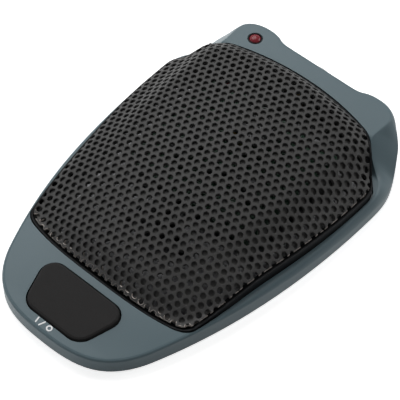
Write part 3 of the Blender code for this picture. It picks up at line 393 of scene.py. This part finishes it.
def drawn_in(places):
    """Places of the flat sheet moved to where pressing draws them: closer together in plan on
    the steep front, so that the holes' spacing along the slope grows less."""
    columns = np.linspace(-HALF_WIDTH, HALF_WIDTH, DRAW_COLUMNS)
    rows = np.linspace(DRAW_FROM, DRAW_TO, DRAW_STEPS)
    step = rows[0] - rows[1]
    x, y = np.meshgrid(columns, rows, indexing="ij")
    height = dome_height(np.column_stack([x.ravel(), y.ravel()])).reshape(x.shape)
    slope = np.abs(np.diff(height, axis=1)) / step
    slope = np.minimum(slope, np.where(rows[1:] < DRAW_EDGE, DRAW_EDGE_SLOPE, DRAW_SLOPE))
    start = slope[:, :1]
    run = step * np.sqrt((1 + slope**2) / (1 + start**2))
    along = DRAW_FROM - np.concatenate([np.zeros((len(columns), 1)), np.cumsum(run, axis=1)], axis=1)
    found = np.array([np.interp(places[:, 1], line[::-1], rows[::-1]) for line in along])
    share = (places[:, 0] + HALF_WIDTH) / (columns[1] - columns[0])
    low = np.clip(share.astype(int), 0, DRAW_COLUMNS - 2)
    part = np.clip(share - low, 0.0, 1.0)
    index = np.arange(len(places))
    drawn = places.copy()
    front = places[:, 1] < DRAW_FROM
    between = found[low, index] * (1 - part) + found[low + 1, index] * part
    drawn[front, 1] = between[front]
    return drawn


def inside(places, outline):
    """Whether each place in plan lies inside a closed outline."""
    found = np.zeros(len(places), dtype=bool)
    x, y = places[:, 0], places[:, 1]
    for a, b in zip(outline, np.roll(outline, -1, axis=0)):
        if a[1] != b[1]:
            crossed = (a[1] > y) != (b[1] > y)
            found ^= crossed & (x < a[0] + (b[0] - a[0]) * (y - a[1]) / (b[1] - a[1]))
    return found


def link(name, mesh):
    obj = bpy.data.objects.new(name, mesh)
    bpy.context.scene.collection.objects.link(obj)
    return obj


def bridge(bm, loops):
    for lower, upper in zip(loops, loops[1:]):
        for i in range(len(lower)):
            j = (i + 1) % len(lower)
            bm.faces.new((lower[i], lower[j], upper[j], upper[i]))


def draw_up(bm, faces, height):
    """Draws flat faces up into solids, and leaves the old faces as their feet."""
    raised = bmesh.ops.extrude_face_region(bm, geom=faces, use_keep_orig=True)["geom"]
    tops = [corner for corner in raised if isinstance(corner, bmesh.types.BMVert)]
    bmesh.ops.translate(bm, verts=tops, vec=(0.0, 0.0, height))


def mesh_of(bm, name):
    bmesh.ops.recalc_face_normals(bm, faces=bm.faces)
    if bm.calc_volume(signed=True) < 0:
        bmesh.ops.reverse_faces(bm, faces=bm.faces)
    mesh = bpy.data.meshes.new(name)
    bm.to_mesh(mesh)
    bm.free()
    return mesh


def casing(name, inset, drop, floor):
    """The body's outer form, or, moved in and down, the hollow inside it."""
    foot = body_outline()
    crease = body_crease(foot)
    if inset:
        foot = inset_half(foot, inset)
        crease = inset_half(crease, inset)
    reach = np.linalg.norm(foot[:, :2] - crease[:, :2], axis=1)
    soften = SIDE_ROUND * smooth_share(crease[:, 1], OPENING_FRONT_Y, OPENING_SIDE_Y)
    soften *= 1 - smooth_share(crease[:, 1], OPENING_SIDE_Y + LENGTH * 0.05, OPENING_CORNER_Y)
    top = crease[:, 2] - drop
    start = top - np.minimum(reach + soften, crease[:, 2] - FLANK_WALL_HEIGHT + EDGE_ROUND)
    start = np.maximum(start, PLATE_TOP + FIT)
    lean = np.minimum(reach / 0.006, 1.0)[:, None]
    low = np.column_stack([foot[:, :2], start])
    high = np.column_stack([crease[:, :2], top])
    corner = low + (high - low) * 0.45 * lean
    corner[:, 2] = start + (top - start) * (0.67 - 0.15 * lean[:, 0])
    levels = [np.column_stack([foot[:, :2], np.full(len(foot), floor)])]
    for share in (0.0, 0.12, 0.25, 0.38, 0.52, 0.66, 0.8, 0.9, 1.0):
        levels.append(low * (1 - share) ** 2 + corner * 2 * share * (1 - share) + high * share**2)
    if not inset:
        levels[-1][:, 2] -= CREASE_ROLL * 0.3
        for share, sink in ((0.4, 0.1), (1.0, 0.0)):
            line = inset_half(crease, CREASE_ROLL * share)
            levels.append(np.column_stack([line[:, :2], top - CREASE_ROLL * sink]))
    bm = bmesh.new()
    loops = [[bm.verts.new(p) for p in ring(level)] for level in levels]
    bridge(bm, loops)
    bm.faces.new(reversed(loops[0]))
    deck(bm, loops[-1])
    return link(name, mesh_of(bm, name))


def deck(bm, rim):
    """Closes the top: crowned strips from side to side, then the flat deck behind the grille."""
    flat_from = OUTLINE_STEPS * 6
    whole = len(rim)
    previous = [rim[0]]
    for i in range(1, flat_from + 1):
        right, left = rim[i], rim[whole - i]
        crown = DECK_CROWN * float(smooth_share(right.co.y, FRONT_Y, OPENING_FRONT_Y))
        crown *= 1 - float(smooth_share(right.co.y, OPENING_FRONT_Y, OPENING_SIDE_Y))
        row = [right]
        for j in range(1, DECK_STEPS):
            share = 1 - 2 * j / DECK_STEPS
            height = right.co.z + crown * (1 - share * share)
            row.append(bm.verts.new((right.co.x * share, right.co.y, height)))
        row.append(left)
        if len(previous) == 1:
            for a, b in zip(row, row[1:]):
                bm.faces.new((previous[0], a, b))
        else:
            for a, b, c, d in zip(previous, previous[1:], row[1:], row):
                bm.faces.new((a, b, c, d))
        previous = row
    rear = rim[flat_from + 1 : whole - flat_from]
    bm.faces.new(list(reversed(previous)) + rear)


def prism(name, outline, low, high):
    bm = bmesh.new()
    foot = bm.faces.new([bm.verts.new((x, y, low)) for x, y in outline[:, :2]])
    draw_up(bm, [foot], high - low)
    return link(name, mesh_of(bm, name))


def circle(centre, radius):
    turn = np.linspace(0, math.tau, ROUND, endpoint=False)
    return np.array(centre) + radius * np.column_stack([np.cos(turn), np.sin(turn)])


def rod(name, x, y, radius, low, high):
    return prism(name, circle((x, y), radius), low, high)


def trim(target, cutter, operation="DIFFERENCE"):
    modifier = target.modifiers.new(cutter.name, "BOOLEAN")
    modifier.operation = operation
    modifier.solver = "EXACT"
    modifier.object = cutter
    return cutter


def settle(obj, helpers):
    """Keeps the result of an object's modifiers and drops the helpers they used."""
    graph = bpy.context.evaluated_depsgraph_get()
    obj.data = bpy.data.meshes.new_from_object(obj.evaluated_get(graph))
    obj.modifiers.clear()
    for helper in helpers:
        bpy.data.objects.remove(helper, do_unlink=True)
    return obj.data


def smooth_body():
    """The body shell again, on a finer net, so that its paint takes light without facets."""
    shell = casing("fine_body", 0.0, 0.0, SKIRT_LIFT)
    helpers = [trim(shell, casing("hollow", WALL, DECK_THICKNESS, -0.001))]
    bosses = (
        (HALF_WIDTH * 0.522, FRONT_Y + LENGTH * 0.109, NOSE_HEIGHT - DECK_THICKNESS / 3),
        (HALF_WIDTH * 0.70, REAR_Y - LENGTH * 0.065, REAR_BOSS_TOP),
    )
    places = [(way * x, y, top) for x, y, top in bosses for way in (-1, 1)]
    for x, y, top in places:
        helpers.append(trim(shell, rod("boss", x, y, BOSS_RADIUS, PLATE_TOP + FIT, top), "UNION"))
    helpers.append(trim(shell, prism("opening", ring(OPENING), PLATE_TOP, 0.030)))
    gap = inset_ring(button_half(), -BUTTON_FIT)
    helpers.append(trim(shell, prism("button_gap", gap, -0.001, 0.012)))
    for x, y, top in places:
        helpers.append(trim(shell, rod("bore", x, y, SCREW_HOLE, 0.0, top - BORE_END)))
    lamp_y = REAR_Y - LAMP_FROM_REAR
    helpers.append(trim(shell, rod("lamp_hole", -LAMP_X, lamp_y, LAMP_HOLE, 0.007, 0.020)))
    half, front, back = PANEL_HALF_WIDTH + FIT, NOTCH_Y - WALL - 0.001, NOTCH_Y + 0.001
    corners = np.array([(-half, front), (half, front), (half, back), (-half, back)])
    under_deck = REAR_DECK_HEIGHT - DECK_THICKNESS
    helpers.append(trim(shell, prism("panel_gap", corners, -0.001, under_deck)))
    mesh = settle(shell, helpers)
    mesh.shade_smooth()
    mesh.set_sharp_from_angle(angle=math.radians(32))
    evened = shell.modifiers.new("normals", "WEIGHTED_NORMAL")
    evened.keep_sharp = True
    settle(shell, [])
    return shell


def rim_gap(place, outline):
    """The distance of one place in plan to a closed outline."""
    run = np.roll(outline, -1, axis=0) - outline
    offset = place - outline
    share = np.clip((offset * run).sum(axis=1) / (run**2).sum(axis=1), 0.0, 1.0)
    return np.linalg.norm(offset - share[:, None] * run, axis=1).min()


def sheet_net(bm, inset):
    """Lays the flat sheet out as triangles between the points of a turned triangular net, and
    returns its vertices by row and column."""
    cosine, sine = math.cos(NET_TURN), math.sin(NET_TURN)
    turn = np.array([[cosine, sine], [-sine, cosine]])
    row_step = PITCH * math.sqrt(3) / 2
    outline = inset_ring(OPENING, inset - NET_MARGIN)[:, :2]
    keys = [(row, column) for row in NET_ROWS for column in NET_COLUMNS]
    places = [((column + 0.5 * (row % 2)) * PITCH, row * row_step) for row, column in keys]
    places = np.array(places) @ turn + np.array(NET_START)
    net = {}
    for key, place, kept in zip(keys, places, inside(drawn_in(places), outline)):
        if kept:
            net[key] = bm.verts.new((*place, 0.0))
    for (row, column), corner in list(net.items()):
        shift = row % 2
        right = net.get((row, column + 1))
        above = net.get((row + 1, column + shift))
        above_left = net.get((row + 1, column + shift - 1))
        if right and above:
            bm.faces.new((corner, right, above))
        if above and above_left:
            bm.faces.new((corner, above, above_left))
    loose = [vertex for vertex in bm.verts if not vertex.link_faces]
    bmesh.ops.delete(bm, geom=loose, context="VERTS")
    return net


class Holes:
    """The holes' centres, found again from any place near a hole."""

    def __init__(self, centres):
        self.centres = centres
        corners = ((SPECK, 0, 0), (-SPECK, SPECK, 0), (-SPECK, -SPECK, 0))
        specks = [centre + Vector(corner) for centre in centres for corner in corners]
        faces = [(3 * i, 3 * i + 1, 3 * i + 2) for i in range(len(centres))]
        self.tree = BVHTree.FromPolygons(specks, faces)

    def centre_near(self, place):
        index = self.tree.find_nearest(place, HOLE_REACH)[2]
        return None if index is None else self.centres[index]

    def snap(self, vertex, radius):
        """Moves a vertex near a hole onto the circle of a radius round the hole's centre."""
        centre = self.centre_near(vertex.co)
        if centre is not None:
            vertex.co = centre + (vertex.co - centre).normalized() * radius


def punch(bm, net, every):
    """Opens a round hole at each inner point of the net, or at every third one."""
    punched = []
    for (row, column), vertex in net.items():
        third = (column - (row // 2) - row) % 3 == 0
        if vertex.is_valid and not vertex.is_boundary and (every == 1 or third):
            punched.append(vertex)
    holes = Holes([vertex.co.copy() for vertex in punched])
    cut = bmesh.ops.bevel(
        bm,
        geom=punched,
        offset=HOLE_RADIUS + ROLLOVER,
        offset_type="OFFSET",
        segments=HOLE_STEPS,
        profile=0.5,
        affect="VERTICES",
        material=-1,
    )
    bmesh.ops.delete(bm, geom=cut["faces"], context="FACES_ONLY")
    for vertex in bm.verts:
        holes.snap(vertex, HOLE_RADIUS + ROLLOVER)
    return holes


def roll_rims(bm, holes):
    """Gives each hole the rolled-over rim that punching leaves."""
    rims = []
    for edge in bm.edges:
        if edge.is_boundary and all(holes.centre_near(vertex.co) is not None for vertex in edge.verts):
            rims.append(edge)
    rolled = bmesh.ops.extrude_edge_only(bm, edges=rims)
    for vertex in rolled["geom"]:
        if isinstance(vertex, bmesh.types.BMVert):
            holes.snap(vertex, HOLE_RADIUS)
            vertex.co.z = -ROLLOVER


def sheet_border(inset):
    """The outline that a sheet is cut to, drawn back a little at the front."""
    near, far = OPENING_FRONT_Y + LENGTH * 0.02, OPENING_FRONT_Y + LENGTH * 0.06
    cut_back = inset + FRONT_CUT * (1 - smooth_share(OPENING[:, 1], near, far))
    both = np.concatenate([cut_back, cut_back[1:-1][::-1]])[:, None]
    return inset_ring(OPENING, both)[:, :2]


def paint_sheet(mesh, border, paint):
    """Paints a sheet, but for its bare cut edges and, as a painted highlight, the steep rims of the
    holes along its front.
    """
    mesh.materials.clear()
    mesh.materials.append(paint)
    mesh.materials.append(MATERIALS["cut_edge_and_highlight"])
    for face in mesh.polygons:
        gap = rim_gap(np.array([face.center.xy]), border)
        on_cut = abs(face.normal.z) < UPRIGHT and gap < ON_CUT
        front = face.center.y < OPENING_FRONT_Y + HIGHLIGHT_RIM_REACH
        # Painted highlight: steep rims near the border along the front get the light edge colour
        painted_highlight = abs(face.normal.z) < STEEP and gap < HIGHLIGHT_RIM_WIDTH and front
        face.material_index = int(on_cut or painted_highlight)


def perforated_sheet(name, inset, depth, thickness, every, paint):
    """A sheet with round holes, cut along the border through whatever holes lie there, then
    pressed to the dome."""
    bm = bmesh.new()
    net = sheet_net(bm, inset)
    holes = punch(bm, net, every)
    roll_rims(bm, holes)
    underside = bmesh.ops.extrude_face_region(bm, geom=list(bm.faces), use_keep_orig=True)
    for vertex in underside["geom"]:
        if isinstance(vertex, bmesh.types.BMVert):
            vertex.co.z = -thickness
    flat = np.array([vertex.co.xy for vertex in bm.verts])
    for vertex, place in zip(bm.verts, drawn_in(flat)):
        vertex.co.y = place[1]
    obj = link(name, mesh_of(bm, name))
    border = sheet_border(inset)
    mesh = settle(obj, [trim(obj, prism("border", border, -0.01, 0.01), "INTERSECT")])
    paint_sheet(mesh, border, paint)
    flat = np.empty(len(mesh.vertices) * 3)
    mesh.vertices.foreach_get("co", flat)
    flat = flat.reshape(-1, 3)
    pressed = dome_points(flat[:, :2], depth - flat[:, 2])
    mesh.vertices.foreach_set("co", pressed.ravel())
    mesh.update()
    return obj


def principled(name, colour, roughness, metallic=0.0):
    material = bpy.data.materials.new(name)
    material.use_nodes = True
    nodes = material.node_tree.nodes
    shader = nodes["Principled BSDF"]
    shader.inputs["Base Color"].default_value = (*colour, 1.0)
    shader.inputs["Roughness"].default_value = roughness
    shader.inputs["Metallic"].default_value = metallic
    return material, material.node_tree, shader


def noise(tree, place, scale, detail, roughness):
    texture = tree.nodes.new("ShaderNodeTexNoise")
    texture.inputs["Detail"].default_value = detail
    texture.inputs["Roughness"].default_value = roughness
    tree.links.new(place, texture.inputs["Vector"])
    tree.links.new(scale, texture.inputs["Scale"])
    return texture.outputs["Fac"]


def grained_finish():
    """The group that all finishes share: colour and roughness vary a little over the surface, and
    a fine grain gives the height of its bumps."""
    group = bpy.data.node_groups.new("grained_finish", "ShaderNodeTree")
    for name, way, kind in (
        ("Place", "INPUT", "Vector"),
        ("First Colour", "INPUT", "Color"),
        ("Second Colour", "INPUT", "Color"),
        ("Lowest Roughness", "INPUT", "Float"),
        ("Highest Roughness", "INPUT", "Float"),
        ("Grain", "INPUT", "Float"),
        ("Mottle", "INPUT", "Float"),
        ("Colour", "OUTPUT", "Color"),
        ("Roughness", "OUTPUT", "Float"),
        ("Height", "OUTPUT", "Float"),
    ):
        group.interface.new_socket(name=name, in_out=way, socket_type="NodeSocket" + kind)
    given = group.nodes.new("NodeGroupInput").outputs
    result = group.nodes.new("NodeGroupOutput").inputs
    broad = noise(group, given["Place"], given["Mottle"], 3.0, 0.5)
    fine = noise(group, given["Place"], given["Grain"], 3.0, 0.6)
    mixed = group.nodes.new("ShaderNodeMix")
    mixed.data_type = "RGBA"
    group.links.new(broad, mixed.inputs["Factor"])
    group.links.new(given["First Colour"], mixed.inputs[6])
    group.links.new(given["Second Colour"], mixed.inputs[7])
    spread = group.nodes.new("ShaderNodeMapRange")
    spread.inputs["From Min"].default_value = 0.3
    spread.inputs["From Max"].default_value = 0.7
    group.links.new(fine, spread.inputs["Value"])
    group.links.new(given["Lowest Roughness"], spread.inputs["To Min"])
    group.links.new(given["Highest Roughness"], spread.inputs["To Max"])
    group.links.new(mixed.outputs[2], result["Colour"])
    group.links.new(spread.outputs["Result"], result["Roughness"])
    group.links.new(fine, result["Height"])
    return group


GRAINED = grained_finish()


def surface(name, colour, second, roughness, metallic, grain, depth, mottle, gloss):
    """A material with the grained finish at its own values."""
    material, tree, shader = principled(name, colour, roughness, metallic)
    shader.inputs["Specular IOR Level"].default_value = gloss
    finish = tree.nodes.new("ShaderNodeGroup")
    finish.node_tree = GRAINED
    for socket, value in (
        ("First Colour", (*colour, 1.0)),
        ("Second Colour", (*second, 1.0)),
        ("Lowest Roughness", roughness * 0.85),
        ("Highest Roughness", min(roughness * 1.15, 1.0)),
        ("Grain", grain),
        ("Mottle", mottle),
    ):
        finish.inputs[socket].default_value = value
    place = tree.nodes.new("ShaderNodeTexCoord").outputs["Object"]
    bump = tree.nodes.new("ShaderNodeBump")
    bump.inputs["Strength"].default_value = 1.0
    bump.inputs["Distance"].default_value = depth
    tree.links.new(place, finish.inputs["Place"])
    tree.links.new(finish.outputs["Colour"], shader.inputs["Base Color"])
    tree.links.new(finish.outputs["Roughness"], shader.inputs["Roughness"])
    tree.links.new(finish.outputs["Height"], bump.inputs["Height"])
    tree.links.new(bump.outputs["Normal"], shader.inputs["Normal"])
    return material


# Each finish: colour, second colour, roughness, metallic, grain, depth, mottle and gloss. Steel and
# aluminium are darker than the bare metals, so that the pieces inside don't shine through the holes.
FINISHES = {
    "body_paint": (
        (0.104, 0.152, 0.172), (0.115, 0.164, 0.185),
        0.36, 0.0, 2600.0, 0.000006, 90.0, 0.18,
    ),
    "grille_paint": (
        (0.048, 0.048, 0.048), (0.06, 0.059, 0.058),
        0.52, 0.0, 2400.0, 0.000008, 300.0, 0.15,
    ),
    "backing_paint": (
        (0.085, 0.085, 0.085), (0.11, 0.108, 0.105),
        0.6, 0.0, 2400.0, 0.000008, 300.0, 0.15,
    ),
    # Bare cut edges, and a painted highlight on the steep rims along the grille's front
    "cut_edge_and_highlight": (
        (0.42, 0.38, 0.35), (0.52, 0.47, 0.43),
        0.4, 0.2, 2400.0, 0.000008, 300.0, 0.5,
    ),
    "mark_white": (
        (0.96, 0.97, 0.98), (0.98, 0.99, 1.0),
        0.6, 0.0, 2400.0, 0.000004, 300.0, 0.5,
    ),
    "black_plastic": (
        (0.0045, 0.005, 0.006), (0.0065, 0.007, 0.008),
        0.5, 0.0, 2400.0, 0.000008, 60.0, 0.08,
    ),
    "button_plastic": (
        (0.012, 0.012, 0.012), (0.015, 0.014, 0.014),
        0.62, 0.0, 3000.0, 0.000012, 60.0, 0.12,
    ),
    "rubber": (
        (0.012, 0.012, 0.012), (0.018, 0.018, 0.018),
        0.8, 0.0, 2000.0, 0.00002, 60.0, 0.5,
    ),
    "steel": (
        (0.28, 0.28, 0.29), (0.33, 0.33, 0.34),
        0.42, 1.0, 1800.0, 0.000005, 60.0, 0.5,
    ),
    "gold_contact": (
        (0.75, 0.55, 0.22), (0.8, 0.6, 0.28),
        0.24, 1.0, 1800.0, 0.000003, 60.0, 0.5,
    ),
    "lamp_red": (
        (0.17, 0.002, 0.01), (0.22, 0.003, 0.013),
        0.22, 0.0, 1200.0, 0.000004, 400.0, 0.25,
    ),
    "board_green": (
        (0.02, 0.1, 0.05), (0.03, 0.12, 0.06),
        0.35, 0.0, 1500.0, 0.000008, 60.0, 0.5,
    ),
    "can_aluminium": (
        (0.2, 0.2, 0.21), (0.24, 0.24, 0.25),
        0.5, 1.0, 2200.0, 0.000004, 60.0, 0.5,
    ),
    "coil_tape": (
        (0.45, 0.3, 0.08), (0.5, 0.34, 0.1),
        0.45, 0.0, 1600.0, 0.00001, 60.0, 0.5,
    ),
}
MATERIALS = {name: surface(name, *values) for name, values in FINISHES.items()}
for part in frame["record"]["subparts"]:
    for place in NODES[part["node"]].material_slots:
        place.material = MATERIALS[part["material_slot"]]


def dress(obj, material, node=None):
    """Gives a piece of the body its finish, hangs it on the body, and hides the CAD node that it
    stands for.
    """
    if material:
        obj.data.materials.clear()
        obj.data.materials.append(material)
    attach(obj, "body")
    if node:
        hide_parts(node)


shell = smooth_body()
dress(shell, MATERIALS["body_paint"], "upper_housing")
screen = perforated_sheet("fine_screen", SHEET_INSET, 0.0, SHEET, 1, MATERIALS["grille_paint"])
dress(screen, None, "grille_screen")
backing_depth, backing_paint = SHEET + LAYER_GAP, MATERIALS["backing_paint"]
backing = perforated_sheet("fine_backing", BACKING_INSET, backing_depth, BACKING, 3, backing_paint)
dress(backing, None, "grille_backing")


def laid_on(target, name, outlines, thickness):
    """Closed flat shapes laid on a surface as thin paint, each an outer and an inner outline."""
    bm = bmesh.new()
    for lines in outlines:
        edges = []
        for line in lines:
            loop = [bm.verts.new((x, y, -thickness)) for x, y in line]
            edges += [bm.edges.new(pair) for pair in zip(loop, loop[1:] + loop[:1])]
        bmesh.ops.bridge_loops(bm, edges=edges)
    draw_up(bm, list(bm.faces), 3 * thickness)
    tree = BVHTree.FromObject(target, bpy.context.evaluated_depsgraph_get())
    for vertex in bm.verts:
        above = Vector((vertex.co.x, vertex.co.y, 0.03))
        vertex.co.z += tree.ray_cast(above, Vector((0, 0, -1)))[0].z
    return link(name, mesh_of(bm, name))


def stroke(start, end):
    """A straight stroke's outer outline and, close inside it, its inner one."""
    start, end = np.array(start), np.array(end)
    along = (end - start) / np.linalg.norm(end - start)
    across = np.array([-along[1], along[0]]) * MARK_STROKE / 2
    outline = np.array([start - across, end - across, end + across, start + across])
    middle = outline.mean(axis=0)
    return outline, middle + (outline - middle) * 0.02


def turned(name, profile, closed):
    """A solid of revolution about the lamp's axis: a ring, or a solid with a flat foot and tip."""
    axis = Vector((-LAMP_X, REAR_Y - LAMP_FROM_REAR, 0.0))
    bm = bmesh.new()
    places = [bm.verts.new(axis + Vector((radius, 0.0, height))) for radius, height in profile]
    following = places[1:] + places[:1] if closed else places[1:]
    line = [bm.edges.new(pair) for pair in zip(places, following)]
    bmesh.ops.spin(
        bm,
        geom=places + line,
        cent=axis,
        axis=(0.0, 0.0, 1.0),
        angle=math.tau,
        steps=ROUND,
        use_merge=True,
    )
    if not closed:
        bmesh.ops.holes_fill(bm, edges=bm.edges)
    obj = link(name, mesh_of(bm, name))
    obj.data.shade_smooth()
    obj.data.set_sharp_from_angle(angle=math.radians(40))
    return obj


lens = [(LENS_RADIUS, LENS_FOOT)]
for step in range(LENS_STEPS):
    swing = step * math.pi / 2 / LENS_STEPS
    lens.append((LENS_RADIUS * math.cos(swing), LENS_START + LENS_RISE * math.sin(swing)))
dress(turned("fine_lens", lens, False), MATERIALS["lamp_red"], "status_lamp")
outer, inner = LAMP_HOLE - LAMP_GAP, LENS_RADIUS + LAMP_GAP
bezel = [
    (outer, LENS_FOOT),
    (outer, BEZEL_TOP - BEZEL_EDGE),
    (outer - BEZEL_EDGE, BEZEL_TOP),
    (inner + BEZEL_EDGE, BEZEL_TOP),
    (inner, BEZEL_TOP - BEZEL_EDGE),
    (inner, LENS_FOOT),
]
dress(turned("fine_bezel", bezel, True), MATERIALS["black_plastic"], "lamp_collar")

marks = [stroke(start, end) for start, end in MARK_STROKES]
ring_inside = MARK_RING_RADIUS - MARK_STROKE
marks.append((circle(MARK_RING, MARK_RING_RADIUS), circle(MARK_RING, ring_inside)))
dress(laid_on(shell, "switch_mark", marks, MARK_THICKNESS), MATERIALS["mark_white"])


def seen_white(tree):
    """1 for the rays that show the white backdrop: the camera's, and those in metal and glass."""
    rays = tree.nodes.new("ShaderNodeLightPath")
    value = rays.outputs["Is Camera Ray"]
    for kind in ("Is Glossy Ray", "Is Transmission Ray"):
        either = tree.nodes.new("ShaderNodeMath")
        either.operation = "MAXIMUM"
        tree.links.new(value, either.inputs[0])
        tree.links.new(rays.outputs[kind], either.inputs[1])
        value = either.outputs[0]
    return value


def make_floor():
    """A pale floor, white to the rays of seen_white, that keeps the object's shadow."""
    bm = bmesh.new()
    bmesh.ops.create_grid(bm, x_segments=1, y_segments=1, size=FLOOR_SIZE)
    mesh = bpy.data.meshes.new("floor")
    bm.to_mesh(mesh)
    bm.free()
    floor = link("floor", mesh)
    material, tree, shader = principled("floor_white", (FLOOR_WHITE,) * 3, 0.9)
    emission = tree.nodes.new("ShaderNodeEmission")
    total = tree.nodes.new("ShaderNodeAddShader")
    tree.links.new(seen_white(tree), emission.inputs["Strength"])
    emission.inputs["Color"].default_value = (*(FLOOR_GLOW,) * 3, 1.0)
    tree.links.new(shader.outputs[0], total.inputs[0])
    tree.links.new(emission.outputs[0], total.inputs[1])
    tree.links.new(total.outputs[0], tree.nodes["Material Output"].inputs["Surface"])
    mesh.materials.append(material)


def softbox(name, place, width, height, power):
    """A soft rectangular lamp that faces the middle of the table."""
    light = bpy.data.lights.new(name, "AREA")
    light.shape = "RECTANGLE"
    light.size = width
    light.size_y = height
    light.energy = power
    obj = bpy.data.objects.new(name, light)
    obj.location = place
    obj.rotation_euler = (-Vector(place)).to_track_quat("-Z", "Y").to_euler()
    bpy.context.scene.collection.objects.link(obj)
    return obj


def make_world():
    """A dim white surrounding that is seen as full white by the rays of seen_white."""
    world = bpy.data.worlds.new("studio")
    bpy.context.scene.world = world
    world.use_nodes = True
    tree = world.node_tree
    ground = tree.nodes["Background"]
    ground.inputs["Color"].default_value = (1.0, 1.0, 1.0, 1.0)
    node = tree.nodes.new("ShaderNodeMapRange")
    node.inputs["To Min"].default_value = WORLD_LEVEL
    node.inputs["To Max"].default_value = 1.0
    tree.links.new(seen_white(tree), node.inputs["Value"])
    tree.links.new(node.outputs["Result"], ground.inputs["Strength"])


def make_camera():
    """The camera at the photo's viewing angle."""
    level = math.cos(CAMERA_ELEVATION)
    back = Vector(
        (
            math.sin(CAMERA_AZIMUTH) * level,
            -math.cos(CAMERA_AZIMUTH) * level,
            math.sin(CAMERA_ELEVATION),
        )
    )
    data = bpy.data.cameras.new("camera")
    data.sensor_width = 36.0
    data.lens = CAMERA_LENS
    data.clip_start = 0.01
    camera = bpy.data.objects.new("camera", data)
    camera.location = Vector(CAMERA_TARGET) + back * CAMERA_DISTANCE
    camera.rotation_euler = back.to_track_quat("Z", "Y").to_euler()
    bpy.context.scene.collection.objects.link(camera)
    bpy.context.scene.camera = camera


make_floor()
make_world()
make_camera()
for name, values in SOFTBOXES.items():
    softbox(name, *values)
bpy.context.scene.view_settings.view_transform = "Standard"
